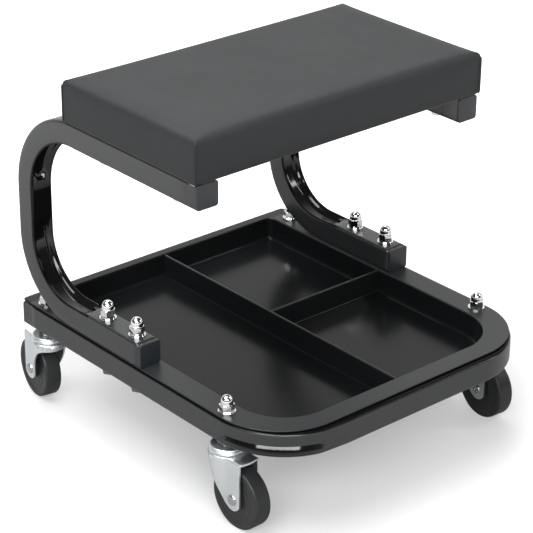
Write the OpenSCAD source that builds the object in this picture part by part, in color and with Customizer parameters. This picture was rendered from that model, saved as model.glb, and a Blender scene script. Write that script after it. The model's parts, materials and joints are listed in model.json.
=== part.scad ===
// Rolling creeper seat: a padded seat on two C-shaped tube legs, a U-shaped tube base
// with a moulded tool tray, and four swivel casters on threaded stems.
// Millimetres. +Z up, -Y is the open front of the seat, and the floor is z = 0.

/* [Base frame] */
// Width of the base over its two side tubes
frame_w = 355; // [330:1:400]
// Length of the base from its front tube to the cut tube ends
frame_l = 393; // [350:1:430]
// Outer radius of the two front bends
frame_bend_r = 80; // [65:1:100]

/* [Square tube] */
// Outer width of the square tube
tube_w = 25; // [22:0.5:30]
// Wall thickness of the tube
tube_wall = 1.5; // [1:0.1:2.5]
// Outer corner radius of the tube
tube_corner = 3; // [2:0.5:4]
// Thickness of a plug's cap
plug_cap = 3; // [2:0.5:5]
// Depth that a plug reaches into the tube
plug_depth = 12; // [8:1:13]
// Clearance between a plug and the tube's inside
plug_gap = 0.2; // [0.1:0.1:0.5]

/* [Legs] */
// Height of a leg from the tray rim to the seat
leg_rise = 221; // [190:1:260]
// Length of the upper arm, from its plug to the back of the leg
leg_top_l = 284.5; // [255:0.5:310]
// Length of the lower arm, from its plug to the back of the leg
leg_low_l = 196.5; // [180:0.5:220]
// Outer radius of the upper bend
leg_top_r = 92; // [75:1:100]
// Outer radius of the lower bend
leg_low_r = 80; // [70:1:88]
// First leg bolt, from the front end of the lower arm
leg_bolt_in = 20.5; // [17:1:26]
// Distance between a leg's two bolts
leg_bolt_pitch = 46.5; // [35:1:55]

/* [Tool tray] */
// Thickness of the tray's rim
rim_t = 2.5; // [2:0.25:4]
// How far the rim lies inside the frame's outer face
rim_inset = 0.5; // [0:0.25:3]
// How far the rim reaches past the rear tube ends
rim_rear_over = 2; // [0:0.5:6]
// Width of the flange behind the rear wall
rim_rear_w = 11; // [8:1:20]
// Wall and floor thickness of the basin
tray_wall = 2.2; // [1.8:0.1:3]
// Depth of the basin below the rim's top
tray_depth = 24.5; // [15:0.5:24.5]
// Gap between the basin and the frame tubes
tray_gap = 0.8; // [0.5:0.1:2]
// Thickness of the dividers
divider_t = 2.5; // [2:0.25:4]
// How far the dividers stop below the rim's top
divider_drop = 0.5; // [0:0.25:5]
// Cross divider, from the basin's front wall
cross_divider_in = 183; // [120:1:220]

/* [Seat] */
// How far the seat reaches past the legs on each side
seat_over = 2.5; // [-5:0.5:20]
// Depth of the seat
seat_d = 200; // [170:1:230]
// Thickness of the whole cushion
seat_h = 43.5; // [36:1:60]
// Distance of the seat's front edge behind the upper arms' ends
seat_set_back = -1; // [-10:1:20]
// Radius of the cushion's upright corners
seat_corner = 9; // [5:1:20]
// Radius of the cushion's top edges
seat_edge = 7; // [3:0.5:12]
// Thickness of the plywood board
board_t = 12; // [9:1:15]
// Thickness of the vinyl cover
cover_t = 1; // [0.8:0.1:1.5]
// Width of the hem that is turned in under the board's long edges
hem_w = 36; // [20:1:50]
// How far the hem shows inside the arms
hem_past_arm = 8.5; // [8:0.5:20]
// First seat bolt, from the front end of the upper arm
seat_bolt_in = 42; // [25:1:60]
// Distance between the two seat bolts of an arm
seat_bolt_pitch = 110; // [80:1:130]

/* [Casters] */
// Diameter of the wheel
wheel_d = 63; // [50:1:75]
// Width of the wheel's tread
wheel_w = 17.5; // [14:0.5:24]
// Radius of the tread's edges
wheel_edge = 2; // [1:0.25:4]
// Gap between the wheel's side and a fork cheek
wheel_side_gap = 1.55; // [1:0.05:3]
// Gap between the wheel and the top of the fork
wheel_top_gap = 10; // [9:0.5:16]
// Distance of the axle from the swivel axis
trail = 21.5; // [15:0.5:26]
// Front casters, behind the end of the front bends
caster_front_back = 2; // [0:0.5:20]
// Rear casters, from the rear tube ends
caster_rear_in = 25; // [22:0.5:30]
// Radius of the fork's head
fork_head_r = 17.5; // [16:0.5:20]
// Thickness of the fork's sheet
fork_t = 2; // [1.5:0.25:2.5]
// Height of the skirt round the fork's head
skirt_h = 7.5; // [5:0.5:10]
// Lean of the cheeks' rear edge from upright
cheek_lean = 26; // [15:1:35]
// Height of the ball row between the fork and the race
ball_row_h = 4.5; // [3.5:0.25:6]
// Height of the stem's hexagonal collar
collar_h = 5.5; // [4:0.5:8]
// Directions that the four casters point in at rest: front left, front right, rear left, rear right
caster_angles = [-89, -95, 81, 98];

/* [Fasteners] */
// Shank diameter of the leg bolts and caster stems
bolt_d = 8; // [6:1:10]
// Shank diameter of the seat bolts
seat_bolt_d = 6; // [5:1:8]
// Radial clearance of a bolt in its hole
hole_gap = 0.5; // [0.2:0.1:1]
// Thickness of the flat washers
washer_t = 1.6; // [1:0.1:2]
// Height of the cap nuts
nut_h = 16; // [14:0.5:16.5]

/* [Hidden] */
$fn = 64;
fit_gap = 0.05;                  // radial clearance of a running or screwed fit
face_gap = 0.3;                  // clearance between faces that turn past each other

// Heights, from the floor up
wheel_r = wheel_d / 2;
fork_top = wheel_d + wheel_top_gap;
race_t = 2;
race_z = fork_top + ball_row_h;
race_top = race_z + race_t;
frame_z = race_top + collar_h;
frame_top = frame_z + tube_w;
rim_z = frame_top + rim_t;
arm_low_top = rim_z + tube_w;
seat_z = rim_z + leg_rise;
board_z = seat_z + cover_t;
foam_z = board_z + board_t;

// Plan positions. y_front is set so that the origin is in the middle of the whole length.
function wheel_reach(a) = (trail + wheel_r - wheel_edge) * sin(a)
    + (wheel_w / 2 - wheel_edge) * abs(cos(a)) + wheel_edge;
rear_reach = max(wheel_reach(caster_angles[2]), wheel_reach(caster_angles[3]));
length_all = frame_l - caster_rear_in + rear_reach;
y_front = -length_all / 2;
y_rear = y_front + frame_l;
tube_x = (frame_w - tube_w) / 2; // centre line of the side tubes and of both legs
arm_inner_x = tube_x - tube_w / 2;
leg_low_end = y_rear - leg_low_l;
leg_top_end = y_rear - leg_top_l;
caster_xy = [
    [-tube_x, y_front + frame_bend_r + caster_front_back],
    [tube_x, y_front + frame_bend_r + caster_front_back],
    [-tube_x, y_rear - caster_rear_in],
    [tube_x, y_rear - caster_rear_in]
];
leg_bolt_y = [leg_low_end + leg_bolt_in, leg_low_end + leg_bolt_in + leg_bolt_pitch];
leg_bolt_xy = [for (x = [-tube_x, tube_x]) for (y = leg_bolt_y) [x, y]];
seat_bolt_y = [leg_top_end + seat_bolt_in, leg_top_end + seat_bolt_in + seat_bolt_pitch];
seat_bolt_xy = [for (x = [-tube_x, tube_x]) for (y = seat_bolt_y) [x, y]];
seat_y = leg_top_end + seat_set_back + seat_d / 2;
seat_w = frame_w + 2 * seat_over;

// Tray basin, inside its walls
basin_x = arm_inner_x - tray_gap - tray_wall;
basin_front = y_front + tube_w + tray_gap + tray_wall;
basin_rear = y_rear + rim_rear_over - rim_rear_w;
basin_r = frame_bend_r - tube_w - tray_gap - tray_wall;
basin_rear_r = 8;
basin_floor = rim_z - tray_depth;

// Fasteners
bolt_r = bolt_d / 2;
hole_r = bolt_r + hole_gap;
seat_bolt_r = seat_bolt_d / 2;
seat_hole_r = seat_bolt_r + hole_gap;
nut_hex_r = bolt_r * 1.875;      // corner radius of a hexagon 13 mm over its flats on M8
nut_dome_r = bolt_r * 1.5625;
nut_hex_h = 7;
nut_bore_h = nut_h - 5;
washer_r = bolt_r * 2.125;
spring_washer_r = bolt_r * 1.8;
spring_washer_t = 2;
head_h = 5.3;
seat_head_r = seat_bolt_r * 1.92;
seat_head_h = 4;
seat_washer_r = seat_bolt_r * 2;
tnut_barrel_r = seat_bolt_r + 1;
tnut_flange_r = 9.5;
tnut_flange_t = 1.2;

// Caster radii, measured from the swivel axis or from the axle
race_r = fork_head_r - 0.5;
race_lip = ball_row_h - 1;
race_lip_t = 1.5;
ball_r = ball_row_h / 2 - 0.1;
ball_ring_r = 11;
ball_count = 12;
kingpin_r = 6;
kingpin_washer_r = 10;
kingpin_washer_t = 1.6;
kingpin_head_r = 8;
kingpin_head_h = 2;
collar_r = 9.2;
cheek_x = wheel_w / 2 + wheel_side_gap + fork_t; // half width of the fork over its cheeks
cheek_end_r = 11;
cheek_front = trail + 10;
rivet_r = 3.5;
rivet_head_r = 5.5;
neck_start = 4;                  // the head narrows to the cheeks between these two places
neck_end = trail - rivet_head_r - 0.5;
rivet_head_h = 2.2;
rivet_bore_r = 2;
rivet_end_h = 1.4;
sleeve_r = 5;
hub_r = 9.5;
dish_r = 25;                     // the wheel's sides are dished between the hub and this radius
dish_depth = 0.8;

// Names of the four casters, in the order of caster_xy and caster_angles
corners = ["front_left", "front_right", "rear_left", "rear_right"];
caster_pieces = ["stem", "race", "balls", "fork", "sleeve", "rivet", "wheel"];

// ---- Shared shapes ----

// A square of width w with corner radius r, centred on the origin
module rounded_square(w, r) {
    square([w - 2 * r, w], center = true);
    square([w, w - 2 * r], center = true);
    for (x = [-1, 1], y = [-1, 1]) translate([x, y] * (w / 2 - r)) circle(r);
}

// A rectangle from its lowest corner, with radius r_low at its two low-y corners and r_high at the others
module rounded_plan(x, y0, y1, r_low, r_high) {
    translate([-x + r_low, y0]) square([2 * (x - r_low), y1 - y0]);
    translate([-x, y0 + r_low]) square([2 * x, y1 - y0 - r_low - r_high]);
    translate([-x + r_high, y1 - r_high - 1]) square([2 * (x - r_high), r_high + 1]);
    for (s = [-1, 1]) {
        translate([s * (x - r_low), y0 + r_low]) circle(r_low, $fn = 128);
        translate([s * (x - r_high), y1 - r_high]) circle(r_high);
    }
}

module tube_section() {
    difference() {
        rounded_square(tube_w, tube_corner);
        rounded_square(tube_w - 2 * tube_wall, max(tube_corner - tube_wall, 0.5));
    }
}

// A straight tube of length l along +Y, from the origin
module straight_tube(l) {
    rotate([-90, 0, 0]) linear_extrude(l) tube_section();
}

// A quarter bend about the Z axis, in the quadrant -X -Y, with outer radius r
module tube_bend(r) {
    rotate([0, 0, 180]) rotate_extrude(angle = 90, $fn = 128)
        translate([r - tube_w / 2, 0]) tube_section();
}

// An upright hole of radius r through everything from z0 to z1, at each place in a list
module holes(places, r, z0, z1) {
    for (p = places) translate([p[0], p[1], z0]) cylinder(r = r, h = z1 - z0);
}

// A plug for the tube's end: its cap starts at the origin and its hollow shank runs towards +Y
module tube_plug() {
    inner = tube_w - 2 * tube_wall - 2 * plug_gap;
    color([0.09, 0.09, 0.1]) {
        rotate([-90, 0, 0]) linear_extrude(plug_cap) rounded_square(tube_w, tube_corner);
        translate([0, plug_cap, 0]) rotate([-90, 0, 0]) linear_extrude(plug_depth) difference() {
            rounded_square(inner, 1.2);
            rounded_square(inner - 4, 1);
        }
    }
}

module washer(r, hole, t) {
    difference() {
        cylinder(r = r, h = t);
        translate([0, 0, -1]) cylinder(r = hole, h = t + 2);
    }
}

// A cap nut standing on z = 0: a hexagon, a neck and a dome, with a blind threaded bore
module cap_nut() {
    difference() {
        union() {
            cylinder(r = nut_hex_r, h = nut_hex_h, $fn = 6);
            cylinder(r = nut_dome_r, h = nut_h - nut_dome_r);
            translate([0, 0, nut_h - nut_dome_r]) sphere(nut_dome_r);
        }
        translate([0, 0, -1]) cylinder(r = bolt_r + fit_gap, h = nut_bore_h + 1);
    }
}

// ---- Base frame ----

module base_tube() {
    side = frame_l - frame_bend_r - plug_cap;
    across = frame_w - 2 * frame_bend_r;
    color([0.1, 0.1, 0.11]) difference() {
        translate([0, 0, frame_z + tube_w / 2]) {
            for (s = [-1, 1]) {
                translate([s * tube_x, y_front + frame_bend_r, 0]) straight_tube(side);
                mirror([s > 0 ? 1 : 0, 0, 0])
                    translate([-frame_w / 2 + frame_bend_r, y_front + frame_bend_r, 0])
                        tube_bend(frame_bend_r);
            }
            translate([-across / 2, y_front + tube_w / 2, 0])
                rotate([0, 0, -90]) straight_tube(across);
        }
        holes(caster_xy, hole_r, frame_z - 1, frame_top + 1);
        holes(leg_bolt_xy, hole_r, frame_z - 1, frame_top + 1);
    }
}

// The plug in a rear end of the base tube, on side s
module base_plug(s) {
    translate([s * tube_x, y_rear, frame_z + tube_w / 2]) rotate([0, 0, 180]) tube_plug();
}

// ---- Tool tray ----

module tool_tray() {
    rim_x = frame_w / 2 - rim_inset;
    rim_front = y_front + rim_inset;
    color([0.03, 0.03, 0.035]) difference() {
        union() {
            translate([0, 0, frame_top]) linear_extrude(rim_t)
                rounded_plan(rim_x, rim_front, y_rear + rim_rear_over, frame_bend_r - rim_inset, 4);
            translate([0, 0, basin_floor - tray_wall]) linear_extrude(tray_depth + tray_wall)
                rounded_plan(basin_x + tray_wall, basin_front - tray_wall, basin_rear + tray_wall,
                             basin_r + tray_wall, basin_rear_r + tray_wall);
        }
        difference() {
            translate([0, 0, basin_floor]) linear_extrude(tray_depth + 1)
                rounded_plan(basin_x, basin_front, basin_rear, basin_r, basin_rear_r);
            dividers();
        }
        holes(caster_xy, hole_r, frame_top - 1, rim_z + 1);
        holes(leg_bolt_xy, hole_r, frame_top - 1, rim_z + 1);
    }
}

// The long divider runs the length of the basin and the cross divider splits its right half
module dividers() {
    h = tray_depth - divider_drop + 1;
    translate([-divider_t / 2, basin_front - 1, basin_floor - 1])
        cube([divider_t, basin_rear - basin_front + 2, h]);
    translate([0, basin_front + cross_divider_in - divider_t / 2, basin_floor - 1])
        cube([basin_x + 1, divider_t, h]);
}

// ---- Legs ----

// A C-shaped leg on side s: lower arm on the tray rim, upright back, upper arm under the seat
module leg(s) {
    low_straight = leg_low_l - leg_low_r - plug_cap;
    top_straight = leg_top_l - leg_top_r - plug_cap;
    back = leg_rise - leg_low_r - leg_top_r;
    color([0.1, 0.1, 0.11]) difference() {
        translate([s * tube_x, y_rear - leg_low_r, rim_z + leg_low_r]) {
            rotate([0, 90, 0]) rotate([0, 0, 90]) mirror([1, 0, 0]) tube_bend(leg_low_r);
            translate([0, -low_straight, tube_w / 2 - leg_low_r]) straight_tube(low_straight);
            translate([0, leg_low_r - tube_w / 2, 0]) rotate([90, 0, 0]) straight_tube(back);
            translate([0, leg_low_r - leg_top_r, back]) {
                rotate([0, 90, 0]) rotate([0, 0, 180]) mirror([1, 0, 0]) tube_bend(leg_top_r);
                translate([0, -top_straight, leg_top_r - tube_w / 2]) straight_tube(top_straight);
            }
        }
        holes(leg_bolt_xy, hole_r, rim_z - 1, arm_low_top + 1);
        holes(seat_bolt_xy, seat_hole_r, seat_z - tube_w - 1, seat_z + 1);
    }
}

module leg_plug_upper(s) {
    translate([s * tube_x, leg_top_end, seat_z - tube_w / 2]) tube_plug();
}

module leg_plug_lower(s) {
    translate([s * tube_x, leg_low_end, rim_z + tube_w / 2]) tube_plug();
}

// ---- Leg and caster fasteners ----

module leg_bolts() {
    top = arm_low_top + spring_washer_t + washer_t + nut_bore_h - 0.5;
    color([0.75, 0.76, 0.78]) for (p = leg_bolt_xy) translate([p[0], p[1], 0]) {
        translate([0, 0, frame_z - washer_t - head_h]) cylinder(r = nut_hex_r, h = head_h, $fn = 6);
        translate([0, 0, frame_z - washer_t - 0.5])
            cylinder(r = bolt_r, h = top - frame_z + washer_t + 0.5);
    }
}

module leg_bolt_washers() {
    color([0.75, 0.76, 0.78]) for (p = leg_bolt_xy)
        translate([p[0], p[1], frame_z - washer_t]) washer(washer_r, bolt_r + 0.2, washer_t);
}

module leg_nut_washers() {
    color([0.8, 0.8, 0.82]) for (p = leg_bolt_xy)
        translate([p[0], p[1], arm_low_top]) washer(washer_r, bolt_r + 0.2, washer_t);
}

// Split spring washers: a ring with a narrow cut
module leg_spring_washers() {
    color([0.7, 0.7, 0.72]) for (p = leg_bolt_xy)
        translate([p[0], p[1], arm_low_top + washer_t]) difference() {
            washer(spring_washer_r, bolt_r + 0.2, spring_washer_t);
            rotate([0, 0, 35]) translate([0, -0.5, -1]) cube([washer_r, 1, spring_washer_t + 2]);
        }
}

module leg_cap_nuts() {
    color([0.85, 0.85, 0.87]) for (p = leg_bolt_xy)
        translate([p[0], p[1], arm_low_top + washer_t + spring_washer_t]) cap_nut();
}

module caster_nut_washers() {
    color([0.8, 0.8, 0.82]) for (p = caster_xy)
        translate([p[0], p[1], rim_z]) washer(washer_r, bolt_r + 0.2, washer_t);
}

module caster_cap_nuts() {
    color([0.85, 0.85, 0.87]) for (p = caster_xy)
        translate([p[0], p[1], rim_z + washer_t]) cap_nut();
}

// ---- Seat ----

// The cushion's shape, grown inwards by inset: upright corners and top edges are rounded
module cushion(inset, z0, z1) {
    w = seat_w - 2 * inset;
    d = seat_d - 2 * inset;
    top = seat_z + seat_h - inset;
    edge = seat_edge - inset;
    corner = seat_corner - inset;
    intersection() {
        translate([0, seat_y, z0]) linear_extrude(z1 - z0)
            rounded_plan(w / 2, -d / 2, d / 2, corner, corner);
        translate([0, seat_y + d / 2 + 1, 0]) rotate([90, 0, 0]) linear_extrude(d + 2)
            rounded_front(w / 2, top, edge);
        translate([-w / 2 - 1, seat_y, 0]) rotate([90, 0, 90]) linear_extrude(w + 2)
            rounded_front(d / 2, top, edge);
    }
}

// A tall rectangle of half width x whose two top corners have radius r
module rounded_front(x, top, r) {
    translate([-x, top - 200]) square([2 * x, 200 - r]);
    translate([-x + r, top - r - 1]) square([2 * (x - r), r + 1]);
    for (s = [-1, 1]) translate([s * (x - r), top - r]) circle(r);
}

module seat_board() {
    color([0.72, 0.55, 0.35]) difference() {
        cushion(cover_t, board_z, foam_z);
        holes(seat_bolt_xy, tnut_barrel_r + fit_gap, board_z - 1, foam_z + 1);
    }
}

module seat_foam() {
    color([0.85, 0.82, 0.6]) difference() {
        cushion(cover_t, foam_z, seat_z + seat_h - cover_t);
        holes(seat_bolt_xy, tnut_flange_r + 0.5, foam_z - 1, foam_z + tnut_flange_t + 0.3);
    }
}

module seat_cover() {
    opening_x = arm_inner_x - hem_past_arm;
    opening_y = seat_d / 2 - hem_w;
    color([0.18, 0.19, 0.2]) difference() {
        cushion(0, seat_z, seat_z + seat_h);
        cushion(cover_t, board_z, seat_z + seat_h - cover_t);
        translate([0, seat_y, seat_z - 1]) linear_extrude(cover_t + 2)
            rounded_plan(opening_x, -opening_y, opening_y, 4, 4);
        holes(seat_bolt_xy, seat_hole_r, seat_z - 1, board_z + 1);
    }
}

// Staples along the hem's inner edge, clear of the arms
module seat_staples() {
    from_edge = 6;
    along_x = arm_inner_x - hem_past_arm + from_edge;
    along_y = seat_d / 2 - hem_w + from_edge;
    color([0.75, 0.75, 0.75]) translate([0, seat_y, 0]) {
        for (s = [-1, 1], i = [-7:7]) translate([i * along_x / 8, s * along_y, 0]) staple();
        for (s = [-1, 1], i = [-3:3])
            translate([s * along_x, i * along_y / 4, 0]) rotate([0, 0, 90]) staple();
    }
}

module staple() {
    crown = 10;
    wire = [1.2, 0.6];
    translate([-crown / 2, -wire[0] / 2, seat_z - wire[1]]) cube([crown, wire[0], wire[1]]);
    for (s = [-1, 1]) translate([s * (crown - wire[1]) / 2, 0, seat_z + 3])
        cube([wire[1], wire[0], 7], center = true);
}

module seat_t_nuts() {
    color([0.75, 0.76, 0.78]) for (p = seat_bolt_xy) translate([p[0], p[1], board_z + 2])
        difference() {
            union() {
                cylinder(r = tnut_barrel_r, h = board_t - 2);
                translate([0, 0, board_t - 2]) cylinder(r = tnut_flange_r, h = tnut_flange_t);
            }
            translate([0, 0, -1]) cylinder(r = seat_bolt_r + fit_gap, h = board_t + 3);
        }
}

module seat_bolts() {
    under = seat_z - tube_w - washer_t;
    color([0.75, 0.76, 0.78]) for (p = seat_bolt_xy) translate([p[0], p[1], 0]) {
        translate([0, 0, under - seat_head_h]) cylinder(r = seat_head_r, h = seat_head_h, $fn = 6);
        translate([0, 0, under - 0.5]) cylinder(r = seat_bolt_r, h = foam_z - under);
    }
}

module seat_bolt_washers() {
    color([0.75, 0.76, 0.78]) for (p = seat_bolt_xy)
        translate([p[0], p[1], seat_z - tube_w - washer_t])
            washer(seat_washer_r, seat_bolt_r + 0.2, washer_t);
}

// ---- Casters: each is drawn on the Z axis with its trail along +X, then put in its corner ----

module at_corner(c) {
    translate([caster_xy[c][0], caster_xy[c][1], 0]) rotate([0, 0, caster_angles[c]]) children();
}

module cylinder_between(r, z0, z1) {
    translate([0, 0, z0]) cylinder(r = r, h = z1 - z0);
}

// The threaded stem with its hexagonal collar, and the kingpin that holds the fork below it
module stem(c) {
    stem_top = rim_z + washer_t + nut_bore_h - 0.5;
    washer_top = fork_top - fork_t - face_gap;
    washer_low = washer_top - kingpin_washer_t;
    color([0.78, 0.79, 0.8]) at_corner(c) {
        cylinder_between(bolt_r, frame_z - 1, stem_top);
        translate([0, 0, race_top]) cylinder(r = collar_r, h = collar_h, $fn = 6);
        cylinder_between(kingpin_r, washer_low - 0.5, race_top + 1);
        cylinder_between(kingpin_washer_r, washer_low, washer_top);
        cylinder_between(kingpin_head_r, washer_low - kingpin_head_h, washer_low + 0.5);
    }
}

// The upper race: a pressed cup whose lip hides the ball row
module race(c) {
    color([0.8, 0.81, 0.82]) at_corner(c) rotate_extrude() polygon([
        [kingpin_r + fit_gap, race_top], [race_r - 1, race_top],
        [race_r, race_top - 1], [race_r, race_z - race_lip],
        [race_r - race_lip_t, race_z - race_lip], [race_r - race_lip_t, race_z],
        [kingpin_r + fit_gap, race_z]
    ]);
}

module balls(c) {
    color([0.85, 0.85, 0.86]) at_corner(c) for (i = [0:ball_count - 1])
        rotate([0, 0, i * 360 / ball_count])
            translate([ball_ring_r, 0, fork_top + ball_row_h / 2]) sphere(ball_r, $fn = 32);
}

// Plan of the fork, taken in by inset: a round head that narrows to two cheeks
module fork_plan(inset) {
    r = fork_head_r - inset;
    half = cheek_x - inset;
    start_y = sqrt(r * r - neck_start * neck_start);
    front = inset > 0 ? cheek_front + 1 : cheek_front;
    circle(r);
    polygon([
        [neck_start, -start_y], [neck_end, -half], [front, -half],
        [front, half], [neck_end, half], [neck_start, start_y]
    ]);
}

// Side view of the fork, in x and z: the head's skirt, the cheek and its round end.
// The cheek's rear edge leans back from the round end and is filleted into the skirt.
module cheek_profile() {
    skirt_z = fork_top - skirt_h;
    fillet_r = 13;
    end_x = trail - cheek_end_r * cos(cheek_lean);
    end_z = wheel_r - cheek_end_r * sin(cheek_lean);
    knee_x = end_x - (skirt_z - end_z) * tan(cheek_lean);
    reach = fillet_r * tan(45 - cheek_lean / 2);
    translate([trail, wheel_r]) circle(cheek_end_r);
    polygon([
        [-fork_head_r - 1, fork_top + 1], [-fork_head_r - 1, skirt_z], [knee_x, skirt_z],
        [end_x, end_z], [trail, wheel_r], [cheek_front, wheel_r], [cheek_front, fork_top + 1]
    ]);
    difference() {
        polygon([
            [knee_x, skirt_z + 1], [knee_x - reach, skirt_z + 1], [knee_x - reach, skirt_z],
            [knee_x + reach * sin(cheek_lean), skirt_z - reach * cos(cheek_lean)]
        ]);
        translate([knee_x - reach, skirt_z - fillet_r]) circle(fillet_r);
    }
}

module prism_of_plan(inset, z0, z1) {
    translate([0, 0, z0]) linear_extrude(z1 - z0) fork_plan(inset);
}

module fork(c) {
    color([0.8, 0.82, 0.84]) at_corner(c) difference() {
        intersection() {
            difference() {
                prism_of_plan(0, 0, fork_top);
                prism_of_plan(fork_t, -1, fork_top - fork_t);
            }
            translate([0, fork_head_r + 1, 0]) rotate([90, 0, 0])
                linear_extrude(2 * fork_head_r + 2) cheek_profile();
        }
        cylinder_between(kingpin_r + 2 * fit_gap, 0, fork_top + 1);
        translate([trail, 0, wheel_r]) rotate([90, 0, 0])
            cylinder(r = rivet_r + fit_gap, h = 4 * cheek_x, center = true);
    }
}

// Moves its child to the axle, with +Z pointing across the fork
module on_axle(c) {
    at_corner(c) translate([trail, 0, wheel_r]) rotate([90, 0, 0]) children();
}

// The steel sleeve that the two cheeks clamp and the wheel turns on
module sleeve(c) {
    l = 2 * (cheek_x - fork_t);
    color([0.7, 0.71, 0.72]) on_axle(c) difference() {
        cylinder(r = sleeve_r, h = l, center = true);
        cylinder(r = rivet_r + fit_gap, h = l + 2, center = true);
    }
}

// The axle rivet: a round head on the frame's outer side and a rolled hollow end on its inner side
module rivet(c) {
    head_inward = caster_xy[c][0] * sin(caster_angles[c]) < 0;
    flat_h = rivet_head_h * 0.4;
    color([0.82, 0.83, 0.85]) on_axle(c) mirror([0, 0, head_inward ? 1 : 0]) difference() {
        union() {
            cylinder(r = rivet_r, h = 2 * cheek_x + 1, center = true);
            translate([0, 0, cheek_x]) cylinder(r = rivet_head_r, h = flat_h);
            translate([0, 0, cheek_x + flat_h])
                cylinder(r1 = rivet_head_r, r2 = rivet_head_r * 0.55, h = rivet_head_h - flat_h);
            translate([0, 0, -cheek_x - rivet_end_h])
                cylinder(r = rivet_r + 1.3, h = rivet_end_h);
        }
        translate([0, 0, -cheek_x - 2]) cylinder(r = rivet_bore_r, h = 9);
    }
}

// The solid moulded wheel: a hub, slightly dished sides and a plain tread with rounded edges
module wheel(c) {
    hub = cheek_x - fork_t - face_gap;
    bore = sleeve_r + 2 * fit_gap;
    side = wheel_w / 2;
    web = side - dish_depth;
    color([0.07, 0.07, 0.075]) on_axle(c) rotate_extrude($fn = 96) {
        polygon([
            [bore, -hub], [hub_r, -hub], [hub_r, -web], [dish_r - dish_depth, -web],
            [dish_r, -side], [wheel_r - wheel_edge, -side], [wheel_r - wheel_edge, side],
            [dish_r, side], [dish_r - dish_depth, web], [hub_r, web], [hub_r, hub], [bore, hub]
        ]);
        translate([dish_r, -side + wheel_edge]) square([wheel_r - dish_r, wheel_w - 2 * wheel_edge]);
        for (s = [-1, 1])
            translate([wheel_r - wheel_edge, s * (side - wheel_edge)]) circle(wheel_edge);
    }
}

// ---- The nodes ----

base_tube();
base_plug(-1);  // base_plug_left
base_plug(1);  // base_plug_right
tool_tray();
leg(-1);  // leg_left
leg(1);  // leg_right
leg_plug_upper(-1);  // leg_plug_upper_left
leg_plug_upper(1);  // leg_plug_upper_right
leg_plug_lower(-1);  // leg_plug_lower_left
leg_plug_lower(1);  // leg_plug_lower_right
leg_bolts();
leg_bolt_washers();
leg_nut_washers();
leg_spring_washers();
leg_cap_nuts();
caster_nut_washers();
caster_cap_nuts();
seat_board();
seat_foam();
seat_cover();
seat_staples();
seat_t_nuts();
seat_bolts();
seat_bolt_washers();
for (c = [0:3]) {
    stem(c);
    race(c);
    balls(c);
    fork(c);
    sleeve(c);
    rivet(c);
    wheel(c);
}
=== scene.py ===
# %% [markdown]
# # Mechanics creeper: looks for a rolling work seat
# A mechanic sits on a low padded seat and rolls about on four casters, with the tools in a tray under it.
# The seat stands on two legs, each bent from one square tube, and the tray hangs in a bent tube base.
# The CAD model is loaded as a fixed frame first. It gives the places and sizes, and each piece that
# Blender makes is put where the CAD says and then moves with the CAD body that it belongs to.

# %% Load the frame
import bpy
import bmesh
import math
from mathutils import Matrix, Vector
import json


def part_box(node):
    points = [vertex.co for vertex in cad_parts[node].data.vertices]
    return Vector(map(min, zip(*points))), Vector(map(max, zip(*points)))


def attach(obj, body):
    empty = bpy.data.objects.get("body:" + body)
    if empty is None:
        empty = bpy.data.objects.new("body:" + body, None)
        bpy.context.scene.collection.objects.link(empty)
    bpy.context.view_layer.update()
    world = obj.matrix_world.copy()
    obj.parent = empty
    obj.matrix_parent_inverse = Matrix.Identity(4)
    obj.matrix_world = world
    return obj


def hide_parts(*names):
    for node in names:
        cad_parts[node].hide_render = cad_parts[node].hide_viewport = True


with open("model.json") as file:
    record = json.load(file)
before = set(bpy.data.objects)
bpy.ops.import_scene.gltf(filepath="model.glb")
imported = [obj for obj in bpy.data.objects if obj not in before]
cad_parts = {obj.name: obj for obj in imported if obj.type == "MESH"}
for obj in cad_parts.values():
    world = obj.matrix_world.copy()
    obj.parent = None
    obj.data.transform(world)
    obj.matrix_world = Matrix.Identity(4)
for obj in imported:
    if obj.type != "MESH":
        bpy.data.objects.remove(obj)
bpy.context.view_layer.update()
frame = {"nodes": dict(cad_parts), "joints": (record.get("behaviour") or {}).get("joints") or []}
nodes = frame["nodes"]
MM = 0.001

# %% [markdown]
# ## Camera
# Furniture is usually shown from above eye level and through a long lens, so that upright lines stay
# nearly parallel. The lens here is about 140 mm. The camera is a touch off level, as a camera in the
# hand would be, so its right-hand axis is turned by half a degree.

# %% Camera
CAMERA_AZIMUTH = math.radians(-41.01)
CAMERA_ELEVATION = math.radians(25.85)
CAMERA_ROLL = math.radians(0.55)
CAMERA_PLACE = Vector((-1.2274, -1.4042, 1.0657))

camera_data = bpy.data.cameras.new("camera")
camera_data.lens = 139.65
camera_data.sensor_width = 36
camera_data.clip_end = 50
camera = bpy.data.objects.new("camera", camera_data)
bpy.context.scene.collection.objects.link(camera)
flat = math.cos(CAMERA_ELEVATION)
back = Vector((math.sin(CAMERA_AZIMUTH) * flat, -math.cos(CAMERA_AZIMUTH) * flat, math.sin(CAMERA_ELEVATION)))
level_right = Vector((0, 0, 1)).cross(back).normalized()
right = level_right * math.cos(CAMERA_ROLL) + back.cross(level_right) * math.sin(CAMERA_ROLL)
up = back.cross(right)
camera.matrix_world = Matrix((right, up, back)).transposed().to_4x4()
camera.matrix_world.translation = CAMERA_PLACE
bpy.context.scene.camera = camera
print("camera stands", round(CAMERA_PLACE.length, 2), "m from the middle of the creeper")

# %% [markdown]
# ## Shared shader groups
# Several finishes need the same small effects: an uneven tint, patches that are a little more or less
# shiny, and a fine texture in the surface. Each effect is a node group, so that it is built once and
# placed in a material with that material's own numbers. The groups read Object coordinates, which are
# metres on the piece, so a scale of 1000 gives a pattern about a millimetre wide on any piece.

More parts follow.
